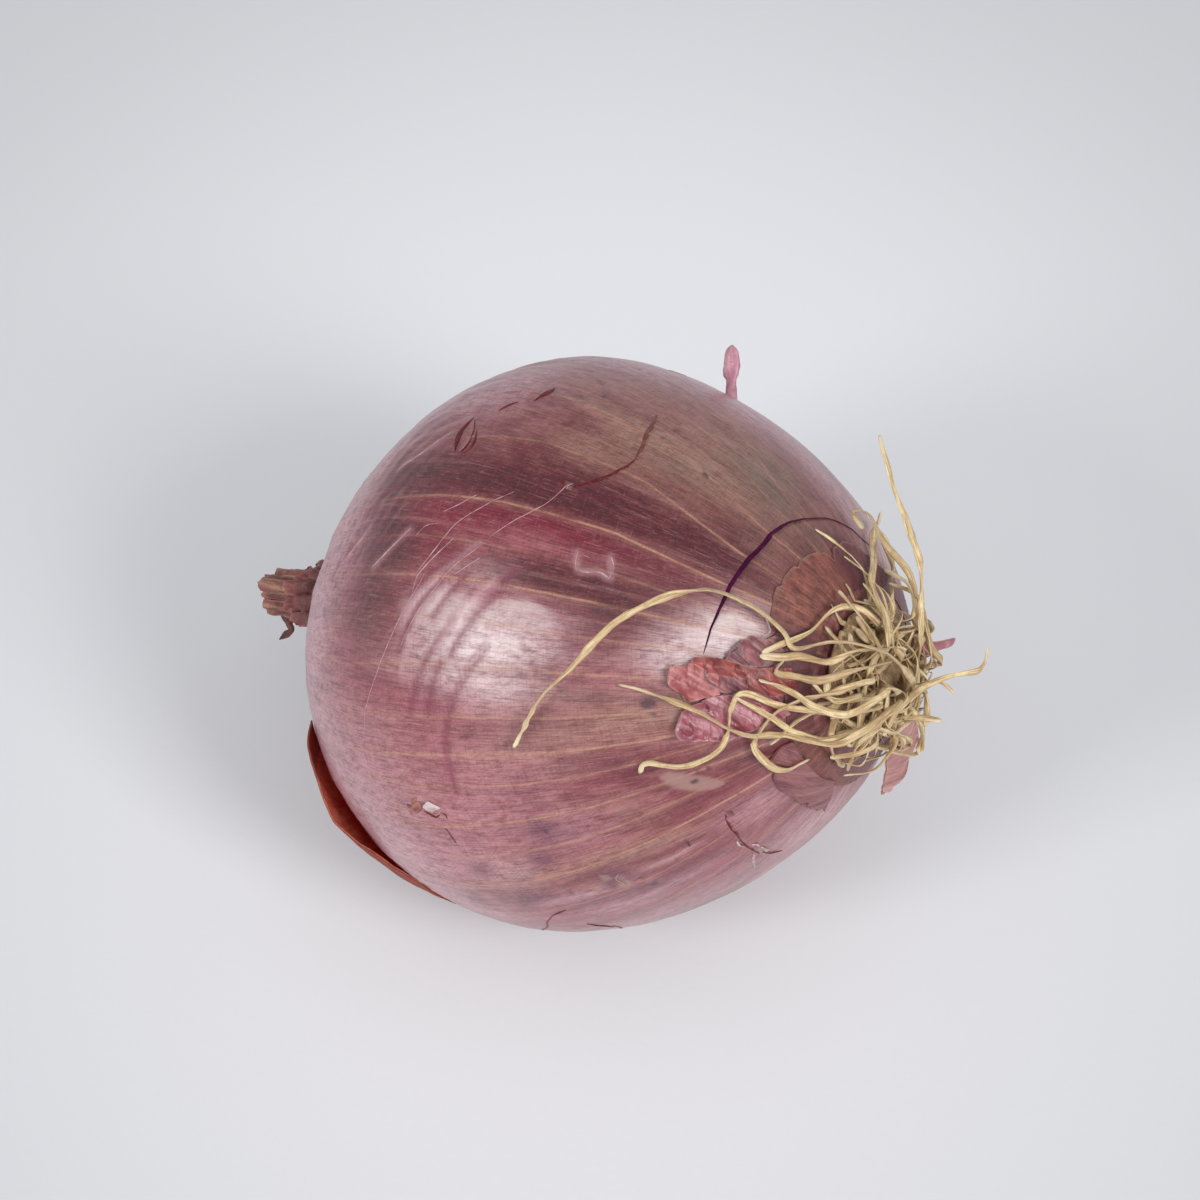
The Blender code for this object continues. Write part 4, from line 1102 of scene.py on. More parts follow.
def loose_skin(name, finish, slot, rows, columns, ragged, waves, seed, crumple=0.0,
               stands_for=None, shade=None, lowest=0.3):
    """A ragged, wavy sheet over the bulb, from the net of the same name."""
    net = curve_rows(np.array(NETS[name], float), rows)
    net = curve_rows(net.transpose(1, 0, 2), columns).transpose(1, 0, 2)
    down = np.linspace(0, 1, rows)[:, None] * np.ones(columns)
    across = np.ones(rows)[:, None] * np.linspace(0, 1, columns)
    along, turn, lift = net[..., 0], net[..., 1], np.maximum(net[..., 2], lowest)
    chart = np.stack([along * 1.4, np.radians(turn) * girth(along), 0 * along + seed], -1)
    tear = cloud(chart, 1.3, seed) + 0.6 * cloud(chart, 0.5, seed + 1)
    sides = np.abs(across * 2 - 1) ** 8
    dark = np.zeros(along.shape) if shade is None else shade(turn)
    along = along + tear * ragged * down ** 6
    turn = turn + np.sign(across - 0.5) * tear * ragged * 1.6 * sides * down
    lift = lift + waves * down * (0.6 * cloud(chart, 3.0, seed + 2) + 0.4 * cloud(chart, 1.2, seed + 3))
    level = chart * (1, 1, 0)
    folds = np.abs(cloud(level, 1.9, seed + 4)) + 0.5 * np.abs(cloud(level, 0.9, seed + 5))
    lift = np.maximum(lift + min(SHEET_MIDDLE, lowest) + crumple * (0.6 - folds), min(0.25, lowest))
    points, faces, side = closed_sheet(lay_down(on_bulb(along, turn, lift)), np.full(along.shape, SHEET))
    edge = np.minimum.reduce([1 - down, across, 1 - across])
    rim = np.exp(-(edge / 0.025) ** 2)
    fields = {"grain": twice(chart[..., [1, 0, 2]]), "under": side, "rim": twice(rim), "shade": twice(dark)}
    add_piece(name + "_skin", points, faces, finish, fields, replaces=stands_for, slot=slot)


# %% Finishes of the loose skins
# dark, middle and light tone, under side, rim, and how dull the skin is
MAGENTA = dry_skin("magenta_skin", (0.21, 0.028, 0.048), (0.40, 0.115, 0.14), (0.62, 0.36, 0.38),
                   (0.30, 0.05, 0.05), (0.70, 0.45, 0.47), 0.06, fibre=1.0)
ROSE = dry_skin("rose_skin", (0.26, 0.040, 0.045), (0.43, 0.125, 0.12), (0.62, 0.34, 0.31),
                (0.30, 0.05, 0.05), (0.62, 0.36, 0.32), 0.2)
RED = dry_skin("red_skin", (0.15, 0.014, 0.014), (0.33, 0.055, 0.045), (0.55, 0.22, 0.19),
               (0.30, 0.05, 0.05), (0.62, 0.33, 0.28), 0.16)
PURPLE = dry_skin("purple_skin", (0.09, 0.020, 0.030), (0.26, 0.070, 0.080), (0.50, 0.28, 0.25),
                  (0.10, 0.03, 0.03), (0.45, 0.25, 0.22), 0.2)
PINK = dry_skin("pink_skin", (0.13, 0.026, 0.036), (0.25, 0.08, 0.085), (0.38, 0.18, 0.17),
                (0.3, 0.1, 0.1), (0.24, 0.04, 0.05), 0.25)
TAN = dry_skin("tan_skin", (0.27, 0.08, 0.075), (0.44, 0.18, 0.16), (0.60, 0.33, 0.29),
               (0.42, 0.17, 0.13), (0.66, 0.42, 0.34), 0.35)
SIDE_PINK = dry_skin("side_pink", (0.30, 0.10, 0.11), (0.48, 0.20, 0.22), (0.62, 0.34, 0.36),
                     (0.38, 0.12, 0.14), (0.62, 0.38, 0.38), 0.35)
# mahogany red-brown; the flap's inner face is painted lighter, a painted glow of light through the thin skin
MAHOGANY_WITH_GLOW = dry_skin("mahogany_skin", (0.46, 0.095, 0.055), (0.60, 0.19, 0.11), (0.68, 0.30, 0.18),
                    (0.21, 0.045, 0.032), (0.26, 0.065, 0.048), 0.55, fibre=1.0)
# The flap is dull and lets some red light through
FLAP_SETTINGS = {
    "Sheen Weight": 0.0, "Specular IOR Level": 0.2, "Subsurface Weight": 0.2,
    "Subsurface Radius": (1.0, 0.22, 0.10), "Subsurface Scale": 0.002,
}
for socket, value in FLAP_SETTINGS.items():
    MAHOGANY_WITH_GLOW.node_tree.nodes["Principled BSDF"].inputs[socket].default_value = value

# %% [markdown]
# Each sheet gets its finish, the number of rows and columns of its grid, how ragged and
# how wavy it is, a seed, and how much it crumples. The pile goes from the sheets that
# lie lowest to those on top. The big flap is darker along its upper edge, where it lies
# in the shade of the skin above it.

# %% Lay the loose skins
loose_skin("rust_sheet", PURPLE, "red_skin", 30, 30, 0.35, 0.3, 31, 0.5)
loose_skin("red_flake", MAGENTA, "red_skin", 60, 46, 0.3, 0.5, 1, 1.1, "red_flake")
loose_skin("rose_sheet", ROSE, "red_skin", 40, 36, 0.4, 0.3, 33, 1.1)
loose_skin("orange_fold", RED, "red_skin", 40, 30, 0.3, 0.3, 35, 1.1)
loose_skin("purple_fold", PURPLE, "red_skin", 34, 50, 0.4, 0.4, 37, 0.7)
loose_skin("brown_fold", RED, "red_skin", 34, 50, 0.4, 0.4, 39, 0.9)
loose_skin("pink_scrap", PINK, "pink_skin", 24, 90, 0.3, 0.15, 4, 0.2, "pink_scrap")
loose_skin("low_flake", TAN, "tan_skin", 40, 40, 0.5, 0.6, 7, 0.4, "low_flake")
loose_skin("side_flake", SIDE_PINK, "pink_skin", 44, 26, 0.25, 0.4, 9, 0.3, "side_flake")
loose_skin("skin_flap", MAHOGANY_WITH_GLOW, "mahogany_skin", 60, 60, 0.10, 0.15, 12, 0.0, "skin_flap",
           shade=lambda turn: np.clip(83.5 - turn, 0, 1), lowest=0.16)

# %% [markdown]
# Around the roots a leathery brown collar is left of the outermost skin. Its edge is
# scalloped where pieces broke off. The edge is read from a short list of places, which
# is denser on the side that is seen, and smooth noise breaks it up. Its colour changes
# from brown on the scallops that are seen best to dark purple beside them. It could be a
# colour of the bulb's skin, but a thin sheet of its own has a real edge and a shadow.

# %% Leathery collar
COLLAR_INNER = 41.0
COLLAR_THICK = 0.2
BROWN_TURNS = ((2, 20), (108, 36))      # middle and half width of the two brown stretches
COLLAR_EDGE = [
    (-180, 39.3), (-130, 39.0), (-90, 39.2), (-65, 39.6), (-53, 39.4), (-44, 38.4), (-33, 37.6),
    (-25, 37.9), (-21, 38.7), (-19, 37.8), (-15.7, 37.4), (-10.9, 37.1), (-5.7, 36.9), (-2.4, 37.2),
    (-1.6, 36.9), (4.6, 36.7), (9, 36.9), (10.4, 36.6), (15, 36.8), (20.6, 37.0), (24.4, 37.4),
    (27.2, 37.8), (29.3, 38.8), (40, 38.8), (60, 39.4), (110, 39.6), (150, 39.0), (180, 39.3),
]


def collar():
    columns, rows = 480, 14
    turn = np.arange(columns) / columns * 360 - 180
    edge = np.interp(turn, *np.array(COLLAR_EDGE).T)
    ring = np.stack([np.cos(np.radians(turn)), np.sin(np.radians(turn)), 0 * turn], -1) * 30
    edge = edge + 0.05 * cloud(ring, 2.6, 41) + 0.05 * cloud(ring, 0.8, 42)
    down = np.linspace(0, 1, rows)[:, None]
    along = COLLAR_INNER + (edge - COLLAR_INNER)[None, :] * down
    spread = np.broadcast_to(turn, along.shape)
    chart = grain_place(along, spread)
    lift = 0.22 + 0.1 * down ** 3 + 0.14 * cloud(chart, 2.5, 43) * down + 0.06 * cloud(chart, 0.8, 44)
    sheet = lay_down(on_bulb(along, spread, lift))
    points, faces, side = closed_sheet(sheet, np.full(along.shape, COLLAR_THICK), wrapped=True)
    chart = np.stack([np.radians(spread) * 30, along * 2, 0 * along], -1)
    rim = twice(0.6 * np.exp(-((1 - down) / 0.05) ** 2) * np.ones(along.shape))
    finish = dry_skin("leathery_skin", (0.10, 0.018, 0.014), (0.23, 0.060, 0.040), (0.40, 0.15, 0.10),
                      (0.15, 0.025, 0.040), (0.52, 0.32, 0.25), 0.28)
    (seen, half), (low, reach) = BROWN_TURNS
    shade = np.clip((np.abs((spread - seen + 180) % 360 - 180) - half) / 5, 0, 1)
    shade = shade * (1 - 0.75 * np.exp(-((spread - low) / reach) ** 4))
    fields = {"grain": twice(chart), "under": np.maximum(side, twice(0.8 * shade)), "rim": rim,
              "shade": twice(0.6 * shade)}
    add_piece("root_collar", points, faces, finish, fields, slot="onion_skin")


collar()

# %% [markdown]
# Where the outer skin has split, the moist layer below shows as a dark line. The skin
# could be cut open there, but a clean cut would need a much finer mesh. So a flat strip
# lies almost flush on the finished skin. Its width follows the crack: hair-thin at the
# ends, most open in the middle. The same strips, paler and narrower, make scratches,
# painted highlights along the wrinkle ridges, a scab and the flaking edges of dry skin.

# %% Cracks, slits and scratches


def glossy(name, colour, other, rough, shine=0.5):
    """Two close tones in small blotches. A low shine lets a deep crack stay dark."""
    finish = Finish(name)
    place = finish.node("TexCoord", {}).outputs["Object"]
    blotch = finish.noise(place, 900.0, 4.0, 0.6)
    fine = finish.noise(place, 3500.0, 2.0, 0.5)
    shade = finish.mix(finish.between(blotch, 0.38, 0.62), colour, other)
    shade = finish.shaded(finish.between(fine, 0.5, 0.3, 0.4), shade, (0.6, 0.55, 0.55))
    return finish.set(Base_Color=shade, Roughness=finish.scaled(blotch, 0.3, rough),
                      Normal=finish.bump(fine, 0.06), Specular_IOR_Level=shine)


STRIP_STEP = 0.3


def strip(bunch, places, widths, lift=0.02, thickness=0.1, ragged=0.25):
    """A flat strip that follows a line over the finished skin."""
    line, out = on_skin_line(places, STRIP_STEP)
    turn = np.degrees(np.arctan2(-out[:, 1], out[:, 2]))
    line, out = on_skin_line(places, STRIP_STEP, skin_lift(line[:, 0], turn) + lift)
    share = np.linspace(0, 1, len(line))
    half = np.interp(share, np.linspace(0, 1, len(widths)), widths) / 2
    ends = np.minimum(1, np.minimum(share, 1 - share) * 30 + 0.25)
    half = half * (1 + ragged * cloud(line, 0.7, 51)) * ends
    points, faces = swept(line, out, half, np.full(len(line), thickness / 2))
    bunch.add(lay_down(points), faces)


def strips(name, finish, lines, **shape):
    """One piece made of many strips. Each line is its places and its widths."""
    bunch = Bunch()
    for places, widths in lines:
        strip(bunch, places, widths, **shape)
    bunch.finish(name, finish, slot="onion_skin")


# %% Splits that show the layer below
DARK_RED = glossy("dark_red_layer", (0.10, 0.008, 0.011), (0.17, 0.022, 0.022), 0.3, shine=0.25)
RED_BROWN = glossy("red_brown_layer", (0.12, 0.022, 0.022), (0.22, 0.065, 0.055), 0.35)
strips("arc_crack", glossy("purple_layer", (0.040, 0.002, 0.022), (0.085, 0.003, 0.045), 0.3, shine=0.12),
       [(ARC_CRACK, ARC_WIDTHS)], ragged=0.10)
strips("dark_slits", DARK_RED, [
    ([(17, -4.3), (16.6, -1.4), (15.6, 2.3), (14.2, 5.5), (12.9, 7.6), (12.4, 7.9)],
     (0.3, 0.5, 0.62, 0.6, 0.35, 0.1)),
    ([(11.9, 8.2), (11.3, 7.9), (10.7, 7.3)], (0.1, 0.35, 0.1)),
    ([(37.0, 23), (37.5, 26), (37.8, 29), (37.3, 32.5)], (0.1, 0.3, 0.3, 0.1)),
    ([(-6.35, -2.3), (-6.6, 0), (-6.3, 3), (-5.1, 7.2)], (0.05, 0.75, 0.8, 0.1)),
    ([(-4.2, 1.0), (-3.3, 3.5), (-3.0, 6), (-3.6, 7.6)], (0.08, 0.28, 0.40, 0.1)),
    ([(-2.0, -8.5), (-2.9, -6.9), (-3.6, -4.8)], (0.15, 0.62, 0.1)),
    ([(0.55, -15.3), (0.45, -13), (0.1, -11), (0.05, -9.6)], (0.15, 1.15, 0.6, 0.1)),
    ([(1.1, 80.3), (0.2, 80.9), (-1.3, 79.8)], (0.15, 0.5, 0.2)),
    ([(2.1, 81.0), (1.9, 80.1), (1.4, 79.7)], (0.1, 0.3, 0.1)),
    ([(9.9, 112.6), (8.8, 113.2), (7.4, 114.2)], (0.1, 0.45, 0.1)),
    ([(1.7, -50), (2.9, -51), (3.7, -52)], (0.1, 0.5, 0.1)),
    ([(9.2, 122.5), (9.6, 127), (9.7, 131)], (0.15, 0.6, 0.2)),
    ([(-7.4, 140), (-7.5, 145), (-7.2, 149)], (0.15, 0.5, 0.15)),
])
strips("old_slits", RED_BROWN, [
    (CURVED_SLIT, (0.3, 0.7, 0.75, 0.6, 0.3)),
    ([(31.0, 131), (31.0, 136), (31.3, 141)], (0.3, 0.8, 0.2)),
    ([(1.3, 83.4), (1.5, 84.8), (1.9, 87.2)], (0.2, 0.35, 0.12)),
    ([(7.4, 114.2), (5, 118), (3.5, 121.5), (0, 127), (-4, 134)], (0.15, 0.3, 0.2, 0.3, 0.1)),
    ([(10.4, 129), (9.3, 134), (6.6, 140), (3, 143), (-0.6, 143.4)], (0.2, 0.3, 0.4, 0.6, 0.2)),
], ragged=0.6)
strips("lower_tear", DARK_RED, [
    (LOWER_TEAR, (0.25, 0.38, 0.45, 0.2, 0.4, 0.3)),
    ([(32.9, 99.4), (33.0, 101.6)], (0.15, 0.3, 0.15)),
    ([(28.0, 102.4), (27.8, 104.8)], (0.1, 0.2, 0.1)),
], ragged=1.2)

# %% Flakes, scab and scratches
strips("flaking_skin", glossy("grey_skin", (0.42, 0.29, 0.29), (0.62, 0.50, 0.49), 0.45), [
    ([(36.6, 23), (37.1, 26), (37.4, 29), (36.9, 32.5)], (0.1, 0.3, 0.25, 0.1)),
    ([(1.5, 78.6), (0.4, 78.6), (-1.2, 78.9)], (0.7, 1.9, 0.6)),
    ([(31.4, 114.5), (31.1, 117), (31.2, 120)], (0.15, 0.7, 0.15)),
    ([(31.9, 121), (32.1, 123), (31.8, 125.5)], (0.1, 0.6, 0.15)),
    ([(31.8, 127), (31.7, 129.5), (31.2, 132.5)], (0.3, 0.9, 0.3)),
    ([(30.6, 128), (29.6, 132), (28.6, 136.6)], (0.2, 0.4, 0.1)),
], lift=0.08, thickness=0.14, ragged=0.5)
strips("scab", glossy("scab_skin", (0.20, 0.050, 0.042), (0.36, 0.14, 0.11), 0.45), [
    ([(-1.6, 77.8), (-2.4, 79.2), (-3.2, 79.6), (-3.9, 79.0)], (0.8, 1.7, 1.1, 0.3)),
    ([(-2.0, 77.0), (-2.8, 78.2)], (0.2, 0.4, 0.2)),
], lift=0.05, ragged=0.8)
strips("lifted_lens", glossy("lens_skin", (0.235, 0.085, 0.095), (0.34, 0.145, 0.145), 0.35), [
    ([(-6.0, -1.6), (-5.1, 1.8), (-4.4, 4.8), (-4.2, 7.2)], (0.15, 1.15, 1.35, 0.5)),
], lift=0.16, thickness=0.16, ragged=0.08)
# pale lines: some scratches, and along the wrinkle ridges a painted highlight
strips("scratches_and_ridge_highlights", glossy("scratch_and_highlight_skin", (0.42, 0.20, 0.22), (0.54, 0.34, 0.355), 0.35), [
    ([(12.0, 8), (11.3, 12), (10.2, 15.2), (8.1, 18.8), (5.8, 23.2)], (0.13, 0.13, 0.15, 0.13, 0.04)),
    ([(6.4, 13), (3.6, 17.3), (0.8, 21.7), (-0.3, 24.7), (-1.5, 29), (-2.6, 32.7)],
     (0.04, 0.12, 0.1, 0.15, 0.17, 0.06)),
    ([(1.9, 15.6), (0.2, 18), (-1.9, 20.3)], (0.08, 0.2, 0.1)),
    ([(1, 25), (-0.6, 28.6), (-2.2, 33), (-2.7, 36.6)], (0.06, 0.16, 0.14, 0.05)),
    ([(-1.4, 33), (-3.2, 40), (-6, 51), (-8.5, 59.9), (-9.9, 67.9)], (0.05, 0.12, 0.10, 0.07, 0.04)),
    ([(-6.1, 24.4), (-8.0, 28), (-10.8, 33)], (0.12, 0.26, 0.08)),
    ([(-8.2, 2.0), (-10.3, 6.4), (-12.2, 9.4), (-13.8, 11.2)], (0.06, 0.2, 0.22, 0.05)),
    ([(5.6, 27.6), (4.3, 29.6), (2.9, 32)], (0.05, 0.13, 0.05)),
    ([(-14.6, 25), (-17, 30), (-19.6, 33.6)], (0.05, 0.25, 0.07)),
    ([(4.8, 25.5), (2.6, 30), (0.9, 34.5), (-1.4, 41), (-3.2, 48)], (0.04, 0.12, 0.1, 0.12, 0.04)),
    ([(20.6, 20.6), (21.3, 23), (21.2, 25.6)], (0.1, 0.2, 0.12)),
    ([(21.2, 25.6), (20.0, 24.8), (18.4, 25.6), (17.6, 25.3)], (0.1, 0.2, 0.22, 0.1)),
    ([(17.5, 26.0), (17.0, 23.6), (16.9, 21.4)], (0.08, 0.2, 0.08)),
    ([(18.4, 22.2), (17.2, 21.8)], (0.1, 0.16, 0.1)),
    ([(-1.9, 22.6), (-3.9, 23.6), (-4.9, 25.8)], (0.05, 0.1, 0.05)),
    ([(19.7, 103.4), (18.9, 105.5), (19.4, 108.8)], (0.1, 0.3, 0.12)),
    ([(12.6, 7.0), (12.1, 8.2), (12.3, 9.0)], (0.1, 0.3, 0.1)),
], lift=0.015, thickness=0.07, ragged=0.7)

# %% [markdown]
# The roots grow from a hard plate, the onion's real stem. The long and the clear ones
# follow routes of their own, as (out, front, up) places in millimetres from the middle of
# the root face. The others are laid by a seeded rule, and thin strands cross between
# them. Hair particles could fill the tuft faster, but a route can loop and cross as the
# real root does, and each root stays a solid body.

# %% Root routes
LONG_ROOTS = {
    "long_arch": [(2, 3, -4), (6.4, -1, -2), (8, 2.5, 6.5), (7, 4.5, 10), (3.6, 7, 13), (-0.5, 9, 12.5),
                  (-2, 8.5, 15), (-5, 9.5, 20), (-9, 13.5, 25), (-15, 21.5, 26), (-20.5, 28, 22),
                  (-24, 31, 19.5), (-27.5, 35, 14.5)],
    "long_left": [(2, 0, -5), (6.4, 2, -2), (7.2, 6, 0), (6.2, 11, 1), (3, 13.5, 1), (-1.5, 16, 4),
                  (-4, 19.5, 7), (-8, 22, 13), (-13.5, 24, 17), (-16, 24.5, 18)],
    "hook_left": [(2, 2, 1), (6, 5.5, 0.5), (4.5, 11, 4.5), (-1, 14, 7), (-4, 17, 11.5), (-5, 19, 10.5),
                  (-6.5, 22, 6.5), (-10, 25.5, 6), (-13.5, 28, 8), (-14.5, 29, 7)],
    "strap_cross": [(2, 6, -2), (5.5, 9, 0), (2.5, 13, 1), (-0.5, 14.5, 3), (-2, 16, 7), (-4.5, 18, 12)],
    "low_v": [(2, 2, 3), (6.8, 5.5, 5.5), (6, 8, 7), (3.6, 11, 7.5), (0, 12.5, 7), (-2, 16, 7),
              (-3.5, 19, 5), (-3, 18.5, 1), (-2.5, 17, -1.5), (-1, 14, -2.5)],
    "tall": [(2, -5, -6), (5.5, -5.5, 0), (6.5, -7, 5), (7, -9.5, 11), (6.5, -10.5, 18), (5.5, -12, 25),
             (4, -14.5, 28.5)],
    "back_loop": [(2, -4, -2.5), (4, -5.5, 0.5), (4.5, -8, 2.5), (3.5, -11, 7), (1, -11.5, 12),
                  (-1.5, -13, 15.5), (-3.5, -12.5, 16), (-2.5, -12.5, 13.5)],
    "stiff_up": [(2, 1, 2), (6.5, 1, 6.5), (4.5, -2.5, 9), (1.5, -6, 10.5), (-1, -10.5, 10),
                 (-3, -14.5, 10.5), (-6, -20, 8.5)],
    "right_reach": [(2, 0, -6), (5, 1, -4), (9, -0.5, -1), (12, -2, 0), (14, -5.5, -2), (14, -8.5, -1)],
    "low_loop": [(2, -2, -5), (5, 0, -4.5), (6.5, 0.5, -6), (6, 0, -10), (4.5, 1, -13), (4, 3.5, -10.5),
                 (3, 6.5, -6)],
}
SHORT_ROOTS = {
    "v_left_low": [(2, 0, 4), (6.2, 1, 6), (6, 5, 10), (3.6, 8.5, 10.5), (-0.5, 9, 11), (-2, 11, 12.5),
                   (-3.5, 12.5, 14)],
    "v_left_top": [(2, -3, 5), (4.5, -1, 9), (3, 0, 12), (1, 2, 13), (-0.5, 5.5, 12.5), (-1.7, 9, 13.5),
                   (-3.5, 12, 14)],
    "loop_mid": [(2, 0, 3), (7.5, 2.5, 6), (6.7, 7.5, 9), (3.6, 10.5, 9.5), (0, 11, 9.5), (-2, 12.5, 11.5),
                 (-1.8, 10.5, 12)],
    "tip_mid": [(2, 1, 0), (7.4, 4.5, 3), (7.3, 8, 4), (5.6, 11.5, 5), (2.5, 13, 7), (0, 12.5, 8),
                (-1.5, 13.5, 10.5), (-3, 14.5, 12)],
    "short_strap": [(2, 7, 3), (3.5, 11, 5), (0.5, 12.7, 4.5), (-1.8, 15.5, 3.7), (-2.8, 17.5, 3.5)],
    "v_bottom_right": [(2, 1, -3), (5.7, 6, -2), (4.5, 10, -2), (1, 10.5, -7)],
    "v_bottom_left": [(1, 7, 1), (2.5, 12, 1), (1.5, 12, -3), (0, 9.5, -8)],
    "pale_low": [(2, 0, -1), (6.5, 1, -2), (6.7, 4, -2), (5.5, 6.5, -4)],
    "hub_arch": [(2, 1, -3), (7.3, 3, 1), (7.5, 5, 3.5), (5, 5.5, 0)],
    "drop": [(1, 1, 7.5), (2.8, 4, 11), (4, 6, 10), (4.8, 9, 7), (4.5, 8, 5)],
    "under_loop": [(1, 5.5, 5.5), (2.8, 9.5, 8), (3.8, 10.5, 6), (5.4, 7, 4)],
    "curly_up": [(2, -4, 3), (3.8, -5, 7), (0, -11, 6), (-1.8, -14.5, 6), (-4, -17, 8.5)],
    "right_stub": [(2, 0, -6), (5, 1, -6), (7.5, 0.5, -6), (9.5, -0.5, -7)],
    "right_drop": [(2, -4, -5), (7, -2, -4), (7.5, -1, -5.5), (7, 0, -8)],
}
THIN_ROOTS = {
    "thin_dark": [(1, -4, 6), (0, -7, 10), (-1.4, -7.5, 12.5), (-4.8, -6.5, 18)],
    "frayed": [(1, -4, 8), (0.5, -7, 10), (-1.8, -6.5, 14)],
    "right_split": [(2, -2, -5), (6, -2.5, -3), (10, -2.5, -2), (11, -3, -4)],
    "thin_right": [(2, -7, -5), (6, -6, -3), (6, -7.5, 1.5), (5.5, -8.5, 3.5)],
}

# %% Roots by rule
FILLER_ROOTS = 36
STRANDS = 70
FLAKE_TURNS = ((175, 212), (220, 265))      # the torn flakes are here, so no filler root is


def filler_routes():
    """Shorter roots between the long ones: out of the plate, then bent over its rim."""
    rng = random.Random(7)
    routes = []
    for k in range(FILLER_ROOTS):
        degrees = 360 * (k + rng.uniform(-0.3, 0.3)) / FILLER_ROOTS
        if any(low < degrees < high for low, high in FLAKE_TURNS):
            continue
        turn = math.radians(degrees)
        start = rng.uniform(2.0, 7.5)
        reach = rng.uniform(9.5, 13.5)
        twist = rng.uniform(-0.7, 0.7)
        rise = rng.uniform(4.5, 6.5)
        route = []
        for out, radius, part in ((1.5, start, 0), (rise, start + 1.5, 0.3),
                                  (rise * 0.7, reach - 1.5, 0.7), (rng.uniform(-0.5, 2), reach, 1)):
            a = turn + twist * part
            route.append((out, radius * math.sin(a), radius * math.cos(a)))
        routes.append(route)
    return routes


def strand_routes():
    """Short loose strands that cross the plate inside the tuft."""
    rng = random.Random(29)
    routes = []
    for _ in range(STRANDS):
        turn, radius = rng.uniform(0, 2 * math.pi), rng.uniform(2, 8.5)
        cross = turn + rng.uniform(0.5, 2.4)
        far = rng.uniform(4, 11.5)
        rise = rng.uniform(3.2, 6.2)
        middle = (turn + cross) / 2
        half = (radius + far) / 2 * rng.uniform(0.6, 1.0)
        routes.append([(out, r * math.sin(a), r * math.cos(a)) for out, r, a in (
            (1.5, radius, turn), (rise, radius + 0.4, turn + 0.15),
            (rise + rng.uniform(-0.6, 0.8), half, middle),
            (rise * 0.75, far, cross), (rng.uniform(0.8, 3.0), far + 0.8, cross + rng.uniform(-0.2, 0.3)))])
    return routes


print("routes:", len(LONG_ROOTS) + len(SHORT_ROOTS) + len(THIN_ROOTS), "placed by hand and",
      len(filler_routes()), "by rule")

# %% [markdown]
# A fresh root is round. These have dried to flat, grooved straps, pale as straw with
# brown streaks. Each one twists as it goes, wanders a little off its route, and ends in
# a blunt tip. The groove is made by pulling in every other point of the swept oval.

# %% A route kept clear of the bulb
ROOT_CLEARANCE = 1.47       # from the bulb to the middle of a root
ROOT_STEP = 0.4


def root_line(route):
    """The route as a line in the bulb's own axes, kept clear of the bulb."""
    pts = smooth_line(route, ROOT_STEP)
    line = centre_line(np.array(ROOT_FACE)) + pts * (1, -1, 1)
    inside = line[:, 0] <= ROOT_FACE
    middle = centre_line(line[:, 0])
    off = line - middle
    reach = np.linalg.norm(off, axis=1)
    wanted = girth(line[:, 0]) + ROOT_CLEARANCE
    pushed = middle + off / np.maximum(reach, 1e-6)[:, None] * wanted[:, None]
    return np.where((inside & (reach < wanted))[:, None], pushed, line)


for name, route in LONG_ROOTS.items():
    print(name, "is", round(float(travelled(root_line(route))[-1])), "mm long")

# %% Straw finish


def straw(name, dark, middle, light):
    finish = Finish(name)
    grain = finish.field("grain", "Vector")
    strand = finish.field("strand")
    streaks = finish.noise(finish.stretched(grain, (1, 0.08, 1)), 4.0, 3.0, 0.6)
    bands = finish.noise(finish.stretched(grain, (0.15, 1, 1)), 0.9, 4.0, 0.65)
    colour = finish.mix(finish.between(streaks, 0.30, 0.58), dark, middle)
    colour = finish.mix(finish.between(streaks, 0.5, 0.75, 0.8), colour, light)
    colour = finish.mix(finish.between(bands, 0.52, 0.32, 0.45), colour, dark)
    colour = finish.mix(finish.scaled(strand, 0.6), colour, dark)
    colour = finish.mix(finish.scaled(finish.field("tip"), 0.5), colour, light)
    relief = finish.bump(streaks, 0.12)
    relief = finish.bump(bands, 0.10, relief)
    return finish.set(Base_Color=colour, Roughness=0.55, Normal=relief, Specular_IOR_Level=0.5,
                      Sheen_Weight=0.15)


STRAW = straw("root_straw", (0.37, 0.22, 0.10), (0.74, 0.56, 0.29), (0.98, 0.87, 0.61))

# %% Root straps
HALF_WIDTH, HALF_THICK = 0.48, 0.18
LONG_SCALE, SHORT_SCALE, THIN_SCALE, FILLER_SCALE = 1.12, 1.0, 0.6, 0.75


